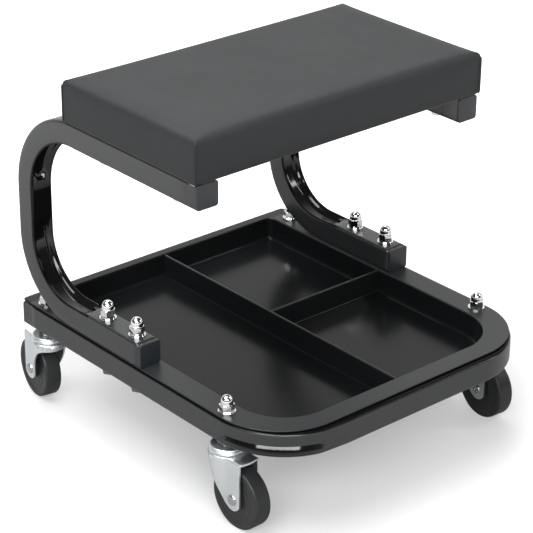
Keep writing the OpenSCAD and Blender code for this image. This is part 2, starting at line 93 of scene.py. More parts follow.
# %% Node group helpers
def new_group(name, inputs, output, output_type="NodeSocketFloat"):
    """An empty shader group with float inputs {name: default} and one output."""
    group = bpy.data.node_groups.new(name, "ShaderNodeTree")
    for label, value in inputs.items():
        kind = "NodeSocketColor" if isinstance(value, tuple) else "NodeSocketFloat"
        socket = group.interface.new_socket(name=label, in_out="INPUT", socket_type=kind)
        socket.default_value = value
    group.interface.new_socket(name=output, in_out="OUTPUT", socket_type=output_type)
    return group, group.nodes.new("NodeGroupInput"), group.nodes.new("NodeGroupOutput")


def add(tree, kind, inputs=(), **settings):
    """A node with its settings, and its inputs given as numbers or as sockets to link from."""
    node = tree.nodes.new(kind)
    for key, value in settings.items():
        setattr(node, key, value)
    for key, value in dict(inputs).items():
        if isinstance(value, bpy.types.NodeSocket):
            tree.links.new(value, node.inputs[key])
        else:
            node.inputs[key].default_value = value
    return node


def object_coordinates(tree):
    return tree.nodes.new("ShaderNodeTexCoord").outputs["Object"]


# %% [markdown]
# Uneven tint mixes a colour with a lighter and a darker version of itself along two noises: a broad
# one, as pigment settles, and a fine one, as a surface catches dust. Patchy shine does the same for
# roughness, because no moulded or painted face is equally polished all over.

# %% Uneven tint and patchy shine
tint_group, gi, go = new_group("Uneven tint", {"Colour": (0.5, 0.5, 0.5, 1), "Scale": 20.0, "Amount": 0.1},
                               "Colour", "NodeSocketColor")
place = object_coordinates(tint_group)
broad = add(tint_group, "ShaderNodeTexNoise", {"Vector": place, "Scale": gi.outputs["Scale"], "Detail": 3.0})
fine_scale = add(tint_group, "ShaderNodeMath", {0: gi.outputs["Scale"], 1: 22.0}, operation="MULTIPLY")
fine = add(tint_group, "ShaderNodeTexNoise", {"Vector": place, "Scale": fine_scale.outputs[0], "Detail": 2.0})
both = add(tint_group, "ShaderNodeMath", {0: broad.outputs[0], 1: fine.outputs[0]}, operation="ADD")
centred = add(tint_group, "ShaderNodeMath", {0: both.outputs[0], 1: 1.0}, operation="SUBTRACT")
swing = add(tint_group, "ShaderNodeMath", {0: centred.outputs[0], 1: gi.outputs["Amount"], 2: 1.0},
            operation="MULTIPLY_ADD")
tinted = add(tint_group, "ShaderNodeVectorMath", {0: gi.outputs["Colour"], "Scale": swing.outputs[0]},
             operation="SCALE")
tint_group.links.new(tinted.outputs[0], go.inputs[0])

shine_group, gi, go = new_group("Patchy shine", {"Roughness": 0.4, "Scale": 15.0, "Spread": 0.1}, "Roughness")
cloud = add(shine_group, "ShaderNodeTexNoise", {"Vector": object_coordinates(shine_group),
                                                "Scale": gi.outputs["Scale"], "Detail": 4.0})
centred = add(shine_group, "ShaderNodeMath", {0: cloud.outputs[0], 1: 0.5}, operation="SUBTRACT")
patch = add(shine_group, "ShaderNodeMath",
            {0: centred.outputs[0], 1: gi.outputs["Spread"], 2: gi.outputs["Roughness"]},
            operation="MULTIPLY_ADD", use_clamp=True)
shine_group.links.new(patch.outputs[0], go.inputs[0])
print("groups:", tint_group.name, "and", shine_group.name)

# %% [markdown]
# Vinyl is embossed with a leather grain: small rounded cells with creases between them. A Voronoi
# texture gives the cells and a noise bends their borders. Powder coat and moulded plastic have a
# softer texture, called orange peel, which is one noise at two sizes.

# %% Leather grain and orange peel
grain_group, gi, go = new_group("Leather grain", {"Scale": 900.0, "Wander": 0.0006}, "Height")
place = object_coordinates(grain_group)
bend = add(grain_group, "ShaderNodeTexNoise", {"Vector": place, "Scale": 700.0, "Detail": 2.0})
shift = add(grain_group, "ShaderNodeVectorMath", {0: bend.outputs["Color"], "Scale": gi.outputs["Wander"]},
            operation="SCALE")
moved = add(grain_group, "ShaderNodeVectorMath", {0: place, 1: shift.outputs[0]}, operation="ADD")
cells = add(grain_group, "ShaderNodeTexVoronoi", {"Vector": moved.outputs[0], "Scale": gi.outputs["Scale"]},
            feature="DISTANCE_TO_EDGE")
crease = add(grain_group, "ShaderNodeMapRange", {"Value": cells.outputs["Distance"], "From Max": 0.22},
             interpolation_type="SMOOTHSTEP")
grain_group.links.new(crease.outputs[0], go.inputs[0])

peel_group, gi, go = new_group("Orange peel", {"Scale": 300.0, "Fine": 0.35}, "Height")
place = object_coordinates(peel_group)
coarse = add(peel_group, "ShaderNodeTexNoise", {"Vector": place, "Scale": gi.outputs["Scale"], "Detail": 1.0})
five = add(peel_group, "ShaderNodeMath", {0: gi.outputs["Scale"], 1: 5.0}, operation="MULTIPLY")
small = add(peel_group, "ShaderNodeTexNoise", {"Vector": place, "Scale": five.outputs[0], "Detail": 1.0})
peel = add(peel_group, "ShaderNodeMath", {0: small.outputs[0], 1: gi.outputs["Fine"], 2: coarse.outputs[0]},
           operation="MULTIPLY_ADD")
peel_group.links.new(peel.outputs[0], go.inputs[0])

# %% [markdown]
# Handling rubs outer edges bright and leaves hollows dull. Pointiness says how convex the surface is,
# so a narrow range of it picks out the edges, and a noise breaks the line up.

# %% Edge rub
edge_group, gi, go = new_group("Edge rub", {"Strength": 0.3}, "Mask")
point = add(edge_group, "ShaderNodeNewGeometry").outputs["Pointiness"]
edges = add(edge_group, "ShaderNodeMapRange", {"Value": point, "From Min": 0.52, "From Max": 0.62})
broken = add(edge_group, "ShaderNodeTexNoise", {"Vector": object_coordinates(edge_group), "Scale": 160.0})
worn = add(edge_group, "ShaderNodeMath", {0: edges.outputs[0], 1: broken.outputs[0]}, operation="MULTIPLY")
mask = add(edge_group, "ShaderNodeMath", {0: worn.outputs[0], 1: gi.outputs["Strength"]},
           operation="MULTIPLY", use_clamp=True)
edge_group.links.new(mask.outputs[0], go.inputs[0])

# %% [markdown]
# ## Finishes
# One function lays out the part that all the finishes share: tint, shine, rubbed edges and a bumped
# surface, all feeding a Principled shader that stays in the material itself. Numbers that are the same
# all over the surface, such as how metallic it is, are set on the shader's own sockets.

# %% A finish from the shared groups
def use_group(tree, group, **values):
    node = add(tree, "ShaderNodeGroup", node_tree=group)
    for key, value in values.items():
        if isinstance(value, bpy.types.NodeSocket):
            tree.links.new(value, node.inputs[key])
        else:
            node.inputs[key].default_value = value
    return node.outputs[0]


def finish(name, colour, roughness, tint=(20, 0.15), shine=(15, 0.08), texture=("peel", 300, 0.02),
           rub=0.0, rub_colour=(0.2, 0.2, 0.2, 1), **sockets):
    """A material: colour (linear), roughness, tint (scale, amount), shine (scale, spread), and a bumped
    texture (which group, scale, depth in mm)."""
    material = bpy.data.materials.new(name)
    material.use_nodes = True
    tree = material.node_tree
    shader = tree.nodes["Principled BSDF"]
    colour_out = use_group(tree, tint_group, Colour=(*colour, 1), Scale=tint[0], Amount=tint[1])
    if rub:
        mask = use_group(tree, edge_group, Strength=rub)
        mixed = add(tree, "ShaderNodeMix", {0: mask, 6: colour_out, 7: rub_colour}, data_type="RGBA")
        colour_out = mixed.outputs[2]
    tree.links.new(colour_out, shader.inputs["Base Color"])
    rough = use_group(tree, shine_group, Roughness=roughness, Scale=shine[0], Spread=shine[1])
    tree.links.new(rough, shader.inputs["Roughness"])
    kind, scale, depth = texture
    height = use_group(tree, {"peel": peel_group, "grain": grain_group}[kind], Scale=scale)
    bump = add(tree, "ShaderNodeBump", {"Height": height, "Distance": depth * MM})
    tree.links.new(bump.outputs[0], shader.inputs["Normal"])
    for key, value in sockets.items():
        shader.inputs[key.replace("_", " ")].default_value = value
    return material


# %% [markdown]
# The tubes are powder coated in satin black: dust of paint melted on in an oven, with a soft orange
# peel. The tray is moulded in glossy black plastic, and the end plugs in a duller, slightly bluish one.
# The wheels are a matt moulding. Cap nuts are chromed, and the rest of the hardware has a bluish zinc
# plate, which is less even and less shiny than chrome.

# %% Paint, plastics and metals
paint = finish("satin_black_powder_coat", (0.020, 0.021, 0.022), 0.27, tint=(12, 0.2), shine=(10, 0.08),
               texture=("peel", 420, 0.018), Specular_IOR_Level=0.65)
tray_plastic = finish("black_tray_plastic", (0.006, 0.0065, 0.007), 0.2, tint=(9, 0.25), shine=(8, 0.1),
                      texture=("peel", 160, 0.012), Specular_IOR_Level=0.3)
plug_plastic = finish("blue_black_plug_plastic", (0.016, 0.019, 0.022), 0.38, texture=("peel", 700, 0.03))
wheel_plastic = finish("matt_black_wheel_moulding", (0.016, 0.0165, 0.0175), 0.44, tint=(30, 0.25),
                       texture=("peel", 500, 0.04), rub=0.3, rub_colour=(0.07, 0.07, 0.07, 1))
chrome = finish("chrome_plate", (0.86, 0.86, 0.87), 0.07, tint=(60, 0.05), shine=(90, 0.06),
                texture=("peel", 200, 0.004), Metallic=1.0)
zinc = finish("bright_zinc_plate", (0.85, 0.885, 0.90), 0.38, tint=(45, 0.1), shine=(60, 0.22),
              texture=("peel", 900, 0.01), rub=0.3, rub_colour=(0.9, 0.92, 0.93, 1), Metallic=1.0)
ball_steel = finish("ball_steel", (0.62, 0.62, 0.63), 0.12, tint=(200, 0.1), texture=("peel", 400, 0.002),
                    Metallic=1.0)

# Where the tube was pressed, the coat is stretched smooth and glossier. The attribute also paints shade:
# where it is 1, in a dent, the colour goes near black as shade in the dent would make it, and above 1
# the colour stays near black and the gleam goes too, on the flats that lie in their own shade.
tree = paint.node_tree
shader = tree.nodes["Principled BSDF"]
pressed = add(tree, "ShaderNodeAttribute", attribute_name="pressed").outputs["Fac"]
sheet_colour = shader.inputs["Base Color"].links[0].from_socket
sheet_rough = shader.inputs["Roughness"].links[0].from_socket
# Painted shade: the colour goes near black wherever the attribute is 1 or more
colour_mix = add(tree, "ShaderNodeMix", {0: pressed, 6: sheet_colour, 7: (0.004, 0.004, 0.0045, 1)},
                 data_type="RGBA")
rough_mix = add(tree, "ShaderNodeMix", {0: pressed, 2: sheet_rough, 3: 0.09}, data_type="FLOAT")
gleam = add(tree, "ShaderNodeMath", {0: pressed, 1: -0.15, 2: 0.65}, operation="MULTIPLY_ADD", use_clamp=True)
tree.links.new(colour_mix.outputs[2], shader.inputs["Base Color"])
tree.links.new(rough_mix.outputs[0], shader.inputs["Roughness"])
tree.links.new(gleam.outputs[0], shader.inputs["Specular IOR Level"])

# The tray's rim has a fine grain, but the basin and the rim's rear strip are polished. The rear strip
# also takes the basin's darker colour and less gleam: painted shade, in place of the dark room it reflects.
RIM_FROM, RIM_TO = 0.1105, 0.1118
REAR_SHADE_FROM, REAR_SHADE_TO = 0.170, 0.1715
tree = tray_plastic.node_tree
shader = tree.nodes["Principled BSDF"]
along = add(tree, "ShaderNodeSeparateXYZ", {"Vector": object_coordinates(tree)})
high_up = add(tree, "ShaderNodeMapRange",
              {"Value": along.outputs["Z"], "From Min": RIM_FROM, "From Max": RIM_TO})
not_painted_rear_shade = add(tree, "ShaderNodeMapRange", {"Value": along.outputs["Y"], "From Min": REAR_SHADE_FROM,
                                            "From Max": REAR_SHADE_TO, "To Min": 1.0, "To Max": 0.12})
on_rim = add(tree, "ShaderNodeMath", {0: high_up.outputs[0], 1: not_painted_rear_shade.outputs[0]},
             operation="MULTIPLY").outputs[0]
basin_rough = shader.inputs["Roughness"].links[0].from_socket
basin_colour = shader.inputs["Base Color"].links[0].from_socket
rough_mix = add(tree, "ShaderNodeMix", {0: on_rim, 2: basin_rough, 3: 0.36}, data_type="FLOAT")
gleam_mix = add(tree, "ShaderNodeMix", {0: on_rim, 2: 0.15, 3: 0.32}, data_type="FLOAT")
tree.links.new(gleam_mix.outputs[0], shader.inputs["Specular IOR Level"])
colour_mix = add(tree, "ShaderNodeMix", {0: on_rim, 6: basin_colour, 7: (0.024, 0.025, 0.026, 1)},
                 data_type="RGBA")
tree.links.new(rough_mix.outputs[0], shader.inputs["Roughness"])
tree.links.new(colour_mix.outputs[2], shader.inputs["Base Color"])
print(len(bpy.data.materials), "materials so far")

# %% [markdown]
# The seat is covered in charcoal vinyl. Its grain is under a millimetre across, and it shows as a
# faint unevenness in the light more than as a pattern. A little sheen softens it at low angles, and a
# second, broader bump lets it follow the foam below.

# %% Vinyl
vinyl = finish("charcoal_vinyl", (0.019, 0.0205, 0.0215), 0.52, tint=(14, 0.16), shine=(25, 0.1),
               texture=("grain", 1100, 0.05), Specular_IOR_Level=0.28)
tree = vinyl.node_tree
shader = tree.nodes["Principled BSDF"]
small_bump = shader.inputs["Normal"].links[0].from_node
swell = add(tree, "ShaderNodeTexNoise", {"Vector": object_coordinates(tree), "Scale": 55.0, "Detail": 1.0})
broad_bump = add(tree, "ShaderNodeBump", {"Height": swell.outputs[0], "Distance": 0.25 * MM})
tree.links.new(broad_bump.outputs[0], small_bump.inputs["Normal"])

# %% [markdown]
# The board is plywood, coloured dark as painted shade, so that its edge below the vinyl reads as the
# shade there and shows less. Plywood shows its plies at the edges, light and dark by turns, and a
# stretched grain on its faces.
# The plies come from a wave along Z, and the grain from a noise that is drawn out along X by a Mapping
# node. The foam has open cells, so its height comes from a small Voronoi.

# %% Plywood and foam
plywood = finish("dark_plywood", (0.17, 0.125, 0.085), 0.6, tint=(40, 0.15), texture=("peel", 500, 0.06))
tree = plywood.node_tree
place = object_coordinates(tree)
drawn = add(tree, "ShaderNodeMapping", {"Vector": place, "Scale": (1.0, 14.0, 14.0)})
streaks = add(tree, "ShaderNodeTexNoise", {"Vector": drawn.outputs[0], "Scale": 22.0, "Detail": 5.0})
height = add(tree, "ShaderNodeSeparateXYZ", {"Vector": place})
ply = add(tree, "ShaderNodeMath", {0: height.outputs["Z"], 1: 1 / (1.5 * MM)}, operation="MULTIPLY")
odd = add(tree, "ShaderNodeMath", {0: ply.outputs[0], 1: 1.0}, operation="PINGPONG")
wood = add(tree, "ShaderNodeMix",
           {0: streaks.outputs[0], 6: (0.09, 0.065, 0.045, 1), 7: (0.20, 0.15, 0.10, 1)},
           data_type="RGBA")
plies = add(tree, "ShaderNodeMix", {0: odd.outputs[0], 6: wood.outputs[2], 7: (0.12, 0.09, 0.065, 1)},
            data_type="RGBA")
tree.links.new(plies.outputs[2], tree.nodes["Principled BSDF"].inputs["Base Color"])
foam = finish("open_cell_foam", (0.62, 0.57, 0.36), 0.9, texture=("grain", 700, 0.3))
print(len(bpy.data.materials), "materials with the seat's")

# %% [markdown]
# ## Making a piece from a mesh
# Each piece is drawn in millimetres with mesh operators, then scaled to metres about the origin, so
# its object stays unturned and unscaled with its place in the mesh. Normals are turned outwards once,
# when the mesh is whole. Faces are shaded smooth except where they meet at a sharp angle.

# %% Piece helper
def finish_piece(name, bm, material, body, replaces=(), smooth=35, weld=True):
    """Turn a bmesh in mm into a piece that rides on a body and stands for CAD nodes."""
    if weld:
        bmesh.ops.remove_doubles(bm, verts=bm.verts, dist=0.001)
    bmesh.ops.recalc_face_normals(bm, faces=bm.faces)
    bmesh.ops.scale(bm, vec=(MM, MM, MM), verts=bm.verts)
    mesh = bpy.data.meshes.new(name)
    bm.to_mesh(mesh)
    bm.free()
    mesh.materials.append(material)
    mesh.shade_smooth()
    mesh.set_sharp_from_angle(angle=math.radians(smooth))
    piece = bpy.data.objects.new(name, mesh)
    bpy.context.scene.collection.objects.link(piece)
    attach(piece, body)
    if replaces:
        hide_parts(*replaces)
    return piece


def box_mm(node):
    low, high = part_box(node)
    return low / MM, high / MM


def new_parts(made, kind):
    """The elements of one kind in an operator's result."""
    return [part for part in made["geom"] if isinstance(part, kind)]


# %% [markdown]
# ## Square tube
# Square tube is a flat strip rolled and welded, so its corners are round. It is bent cold, and the
# inner wall folds in at the bend. Here the tube is made the same way: a rounded square is drawn out
# straight along Y, ring by ring, its wall is pressed in while it is straight, and then every point is
# carried to its place along the bent path. In the straight tube, X is across, Y is length and Z points
# to the outside of the bends.

# %% Draw out a tube
TUBE = 25.0
TUBE_CORNER = 3.0
TUBE_WALL = 1.5


def rounded_square_ring(bm, width, corner, cuts):
    """A closed ring of edges in the XZ plane. cuts says how often each side, +Z, -Z, +X, -X, is cut."""
    bmesh.ops.create_circle(bm, cap_ends=True, segments=4, radius=width / math.sqrt(2))
    bmesh.ops.rotate(bm, verts=bm.verts, matrix=Matrix.Rotation(math.pi / 4, 3, "Z"))
    bmesh.ops.rotate(bm, verts=bm.verts, matrix=Matrix.Rotation(math.pi / 2, 3, "X"))
    bmesh.ops.bevel(bm, geom=bm.verts[:], offset=corner, segments=5, profile=0.5,
                    affect="VERTICES", material=-1)
    for side, count in cuts.items():
        middle = Vector(side) * width / 2
        flat = [e for e in bm.edges if ((e.verts[0].co + e.verts[1].co) / 2 - middle).length < 0.5]
        bmesh.ops.subdivide_edges(bm, edges=flat, cuts=count)
    bmesh.ops.delete(bm, geom=bm.faces[:], context="FACES_ONLY")
    return bm.edges[:]


def draw_out(bm, ring, stations):
    """Extrude a ring along Y so that it passes through every station."""
    for here, there in zip(stations, stations[1:]):
        made = bmesh.ops.extrude_edge_only(bm, edges=ring)
        fresh = set(new_parts(made, bmesh.types.BMVert))
        bmesh.ops.translate(bm, verts=list(fresh), vec=(0, there - here, 0))
        ring = [e for v in fresh for e in v.link_edges if e.other_vert(v) in fresh]
        ring = list(set(ring))
    return ring


def stations_for(total, fine_from, fine_to, fine_step, coarse_step):
    """Lengths along a tube, close together between fine_from and fine_to and far apart elsewhere."""
    places = [0.0]
    while places[-1] < total - 0.01:
        fine = any(a - fine_step <= places[-1] < b for a, b in zip(fine_from, fine_to))
        places.append(min(total, places[-1] + (fine_step if fine else coarse_step)))
    return places


# %% [markdown]
# The path of a bent tube is a list of straight lengths and quarter turns. Walking along it gives the
# place and heading at any length. Every turn goes to the right, so the outside of the bends is always
# on the left of the walker, and that is where the tube's +Z goes.

# %% Bend the tube
def walk(start, heading, runs):
    """A function from length to (point, heading). Each run is (length, None) if it is straight, or
    (length, radius) if it is a turn."""
    def at(length):
        point, angle = Vector(start), heading
        for run, radius in runs:
            step = min(length, run)
            if radius is None:
                point = point + step * Vector((math.cos(angle), math.sin(angle)))
            else:
                centre = point + radius * Vector((math.sin(angle), -math.cos(angle)))
                angle -= step / radius
                point = centre - radius * Vector((math.sin(angle), -math.cos(angle)))
            length -= step
            if length <= 1e-9:
                break
        return point, angle
    return at


def carry(bm, at, to_space):
    """Move every point of a straight tube to its place on the path."""
    for v in bm.verts:
        point, angle = at(v.co.y)
        outside = Vector((-math.sin(angle), math.cos(angle)))
        a, b = point + outside * v.co.z
        v.co = to_space(v.co.x, a, b)


def smooth_step(low, high, value):
    t = min(1.0, max(0.0, (value - low) / (high - low)))
    return t * t * (3 - 2 * t)


def add_wall(piece, thickness):
    """Thicken a skin inwards."""
    wall = piece.modifiers.new("wall", "SOLIDIFY")
    wall.thickness = thickness * MM
    wall.offset = -1
    return wall


def even_shading(piece):
    """Let big flat faces decide the shading, so that they look flat up to their rounded edges."""
    weigh = piece.modifiers.new("even shading", "WEIGHTED_NORMAL")
    weigh.keep_sharp = True
    weigh.weight = 80


# %% [markdown]
# ## Legs
# At each bend the press leaves a dent in the leg's inner wall: the wall goes in by about 4 mm between
# the corners, and a trough with rounded ends goes deeper along the middle. The dent is a depth that
# depends on the length along the tube and on the distance from the middle of the wall. The trough
# narrows to nothing over its last few millimetres, which gives it tongue-shaped ends.

# %% Legs
low, high = box_mm("leg_left")
leg_x = -(low.x + high.x) / 2
top_z, bottom_z, rear_y = high.z, low.z, high.y
PLUG_CAP = 3.0
BEND_TOP, BEND_LOW = 92.0, 80.0
top_end, low_end = low.y, box_mm("leg_plug_lower_left")[0].y + PLUG_CAP
top_r, low_r = BEND_TOP - TUBE / 2, BEND_LOW - TUBE / 2
top_run = rear_y - BEND_TOP - top_end
low_run = rear_y - BEND_LOW - low_end
back_run = top_z - bottom_z - BEND_TOP - BEND_LOW
runs = [(top_run, None), (top_r * math.pi / 2, top_r), (back_run, None), (low_r * math.pi / 2, low_r),
        (low_run, None)]
leg_path = walk((top_end, top_z - TUBE / 2), 0.0, runs)
leg_length = sum(run for run, radius in runs)
top_bend_at = top_run
low_bend_at = top_run + runs[1][0] + back_run
print("each leg is", round(leg_length), "mm of tube")

# Dents: (start, end) of the trough, as lengths along the tube. The wall goes in by BROAD_DEEP between
# its corners, and by TROUGH_DEEP more in the trough.
DENTS = [(top_bend_at + 2, top_bend_at + 116), (low_bend_at - 11, low_bend_at + 131)]
BROAD_DEEP, TROUGH_DEEP = 4.2, 3.6
TROUGH_HALF_WIDTH, TROUGH_TIP = 8.2, 11.0
BULGE = 0.35
inner_from, inner_to = DENTS[0][0] - 14, DENTS[1][1] + 8


def dent_depth(length, across):
    """How far the inner wall goes in."""
    depth = 0.0
    for start, end in DENTS:
        broad = smooth_step(start - 16, start + 14, length) * (1 - smooth_step(end - 14, end + 12, length))
        depth += BROAD_DEEP * broad * (1 - smooth_step(8.3, 12.0, abs(across)))
        inside = min(length - start, end - length)
        if inside > 0:
            tip = min(1.0, inside / TROUGH_TIP)
            half_width = TROUGH_HALF_WIDTH * math.sqrt(tip * (2 - tip))
            depth += TROUGH_DEEP * (1 - smooth_step(half_width - 3.4, half_width, abs(across)))
    return depth


def press_leg(bm):
    """Push the inner wall in, let the side walls bulge, and mark the inner wall where shade is painted."""
    mask = bm.verts.layers.float.new("pressed")
    for v in bm.verts:
        if v.co.z < 0:
            share = smooth_step(0.0, TUBE / 2 - 0.4, -v.co.z)
            depth = dent_depth(v.co.y, v.co.x)
            inner_wall = share > 0.9 and inner_from < v.co.y < inner_to
            # Painted shade: 3 on the inner wall's flats, down to 1 in the deep dents, all painted near black
            v[mask] = 3.0 - 2.0 * min(1.0, depth / 3.0) if inner_wall else 0.0
            v.co.z += depth * (1.0 if v.co.z < -TUBE / 2 + 0.9 else share * 0.25)
        bulge = sum(smooth_step(s, s + 30, v.co.y) * (1 - smooth_step(e - 30, e, v.co.y)) for s, e in DENTS)
        if abs(v.co.x) > TUBE / 2 - 1:
            v.co.x += math.copysign(BULGE * bulge * (1 - (v.co.z / (TUBE / 2)) ** 2), v.co.x)


leg_stations = stations_for(leg_length, [top_bend_at - 20, low_bend_at - 20],
                            [top_bend_at + 135, low_bend_at + 145], 2.4, 22.0)
for side, name in ((-1, "left"), (1, "right")):
    bm = bmesh.new()
    ring = rounded_square_ring(bm, TUBE, TUBE_CORNER,
                               {(0, 0, -1): 21, (0, 0, 1): 3, (1, 0, 0): 5, (-1, 0, 0): 5})
    draw_out(bm, ring, leg_stations)
    press_leg(bm)
    carry(bm, leg_path, lambda across, a, b: Vector((side * leg_x + across, a, b)))
    leg = finish_piece("leg_tube_" + name, bm, paint, "frame", ["leg_" + name])
    add_wall(leg, TUBE_WALL)
    print(leg.name, len(leg.data.polygons), "faces")

# %% [markdown]
# ## Base tube
# The base is one tube bent into a U. Where it goes round the left front corner, the press has left a
# groove in the lower half of the outer wall: a crisp lip above, then a face that slopes out again to
# the bottom edge, and a rounded tip at each end where the lip runs down into that edge.

# %% Base tube
low, high = box_mm("base_tube")
BASE_BEND = 80.0
base_r = BASE_BEND - TUBE / 2
side_run = high.y - (low.y + BASE_BEND)
front_run = high.x - low.x - 2 * BASE_BEND
quarter = base_r * math.pi / 2
base_mid_z = (low.z + high.z) / 2
runs = [(side_run, None), (quarter, base_r), (front_run, None), (quarter, base_r), (side_run, None)]
base_path = walk((high.x - TUBE / 2, high.y), -math.pi / 2, runs)
base_length = 2 * side_run + 2 * quarter + front_run
bend_two = side_run + quarter + front_run
groove_at = (bend_two + 0.09 * quarter, bend_two + 1.0 * quarter)
GROOVE_HIGH, GROOVE_TIP = 10.0, 16.0


def groove_lip(length):
    """The lip's height from the tube's middle, and a share that falls to 0 at the groove's tips."""
    inside = min(length - groove_at[0], groove_at[1] - length)
    tip = min(1.0, max(0.0, inside / GROOVE_TIP))
    return -TUBE / 2 + 1.5 + (GROOVE_HIGH + 0.5) * math.sqrt(tip * (2 - tip)), tip


def groove_depth(length, height):
    """How far the outer wall goes in: a step at the lip, then a slope that comes out again."""
    lip, tip = groove_lip(length)
    lip_step = 1 - smooth_step(lip - 0.9, lip, height)
    down = min(1.0, max(0.0, (lip - height) / GROOVE_HIGH))
    turn = 0.55 - down
    depth = GROOVE_HIGH * (0.30 * (1 - down) + 0.14 * (turn + math.sqrt(turn ** 2 + 0.004)))
    return depth * lip_step * min(1.0, tip * 2.0)


bm = bmesh.new()
ring = rounded_square_ring(bm, TUBE, TUBE_CORNER,
                           {(0, 0, 1): 27, (0, 0, -1): 3, (1, 0, 0): 3, (-1, 0, 0): 3})
base_stations = stations_for(base_length, [side_run - 2, bend_two - 4],
                             [side_run + quarter, bend_two + quarter + 4], 2.0, 26.0)
draw_out(bm, ring, base_stations)
mask = bm.verts.layers.float.new("pressed")
for v in bm.verts:
    if v.co.z > 0:
        inward = groove_depth(v.co.y, v.co.x) * smooth_step(8.5, TUBE / 2 - 0.6, v.co.z)
        v.co.z -= inward
        lip, tip = groove_lip(v.co.y)
        # Painted shade: the groove below its lip is painted near black, and the tube's top strip under the
        # tray's rim gets 4, near black with no gleam, as the rim's shade
        v[mask] = tip if v.co.x < lip + 0.3 and v.co.z > TUBE / 2 - 6 else 0.0
        if v.co.x > TUBE / 2 - 0.9:
            v[mask] = 4.0
carry(bm, base_path, lambda across, a, b: Vector((a, b, base_mid_z + across)))
base = finish_piece("base_tube_bent", bm, paint, "frame", ["base_tube"])
add_wall(base, TUBE_WALL)
print("base tube is", round(base_length), "mm long,", len(base.data.polygons), "faces")

# %% [markdown]
# ## End plugs
# A plug is a moulded cap with a hollow shank that grips inside the tube. Only the cap shows. It starts
# as the same rounded square as the tube, is drawn out by its thickness, and its outer rim is rounded
# with a bevel. The shank's end is left open, as a moulding's is.

# %% End plugs
SHANK, SHANK_WALL = 16, 2.0


def plug(name, centre, turn, node):
    """A plug whose cap starts at centre and whose shank runs along +Y, turned about Z."""
    bm = bmesh.new()
    ring = rounded_square_ring(bm, TUBE, TUBE_CORNER, {(0, 0, -1): 1})
    face = bmesh.ops.contextual_create(bm, geom=ring)["faces"][0]
    grown = bmesh.ops.extrude_face_region(bm, geom=[face])
    cap = new_parts(grown, bmesh.types.BMFace)[0]
    bmesh.ops.translate(bm, verts=cap.verts[:], vec=(0, PLUG_CAP, 0))
    bmesh.ops.bevel(bm, geom=list(face.edges), offset=0.7, segments=3, profile=0.5, affect="EDGES", material=-1)
    bmesh.ops.inset_region(bm, faces=[cap], thickness=TUBE_WALL + 0.25, use_even_offset=True)
    shank = new_parts(bmesh.ops.extrude_face_region(bm, geom=[cap]), bmesh.types.BMFace)[0]
    bmesh.ops.translate(bm, verts=shank.verts[:], vec=(0, SHANK, 0))
    bmesh.ops.inset_region(bm, faces=[shank], thickness=SHANK_WALL, use_even_offset=True)
    hollow = new_parts(bmesh.ops.extrude_face_region(bm, geom=[shank]), bmesh.types.BMFace)[0]
    bmesh.ops.translate(bm, verts=hollow.verts[:], vec=(0, 1 - SHANK, 0))
    bmesh.ops.delete(bm, geom=[cap, shank], context="FACES_ONLY")
    bmesh.ops.rotate(bm, verts=bm.verts, matrix=Matrix.Rotation(turn, 3, "Z"))
    bmesh.ops.translate(bm, verts=bm.verts, vec=centre)
    return finish_piece(name, bm, plug_plastic, "frame", [node], smooth=30)


for node in [n for n in nodes if "plug" in n]:
    low, high = box_mm(node)
    middle = (low + high) / 2
    at_rear = node.startswith("base")
    middle.y = high.y if at_rear else low.y
    plug("cap_" + node, middle, math.pi if at_rear else 0.0, node)
print("plugs made for", [n for n in nodes if "plug" in n])

# %% [markdown]
# ## Tool tray
# The tray is one thin moulding. A mould needs walls that lean out a little, so that the tray lets go,
# and rounded inner corners, so that the plastic flows. Its upper side is a set of rings, each a
# rectangle with rounded corners, joined one to the next: over the rim's edge, across the rim, down the
# leaning wall, round the fillet and on to the floor. A Solidify modifier then gives it its thickness.

# %% Tray
low, high = box_mm("tool_tray")
RIM_TOP = high.z
basin = {"x": 149.5, "front": low.y + 27.5, "rear": high.y - 11, "floor": 88.0}
FRONT_CORNER, REAR_CORNER, RIM_CORNER, RIM_REAR = 52.0, 8.0, 71.0, 4.0
RIM_FRONT_IN, RIM_SIDE_IN = 6.0, 0.8
TRAY_WALL = 2.2


def plan_ring(bm, half_x, front, rear, front_r, rear_r, z):
    """A ring of edges: a rectangle whose front and rear corners have their own radii."""
    before = set(bm.verts)
    made = bmesh.ops.create_circle(bm, cap_ends=True, segments=4, radius=1)
    corners = made["verts"]
    for v, place in zip(corners, ((half_x, front), (half_x, rear), (-half_x, rear), (-half_x, front))):
        v.co = (*place, z)
    front_pair = [v for v in corners if abs(v.co.y - front) < 0.01]
    rear_pair = [v for v in corners if abs(v.co.y - rear) < 0.01]
    for pair, radius, segments in ((front_pair, front_r, 16), (rear_pair, rear_r, 6)):
        bmesh.ops.bevel(bm, geom=pair, offset=radius, segments=segments, profile=0.5,
                        affect="VERTICES", material=-1)
    fresh = [v for v in bm.verts if v not in before]
    faces = {f for v in fresh for f in v.link_faces}
    edges = list({e for f in faces for e in f.edges})
    bmesh.ops.delete(bm, geom=list(faces), context="FACES_ONLY")
    return edges


def rim_ring(bm, inset, z):
    return plan_ring(bm, high.x - RIM_SIDE_IN - inset, low.y + RIM_FRONT_IN + inset, high.y - inset,
                     RIM_CORNER - inset, RIM_REAR - min(inset, 2.5), z)


def basin_ring(bm, inset, z):
    return plan_ring(bm, basin["x"] - inset, basin["front"] + inset, basin["rear"] - inset,
                     FRONT_CORNER - inset, REAR_CORNER - inset, z)


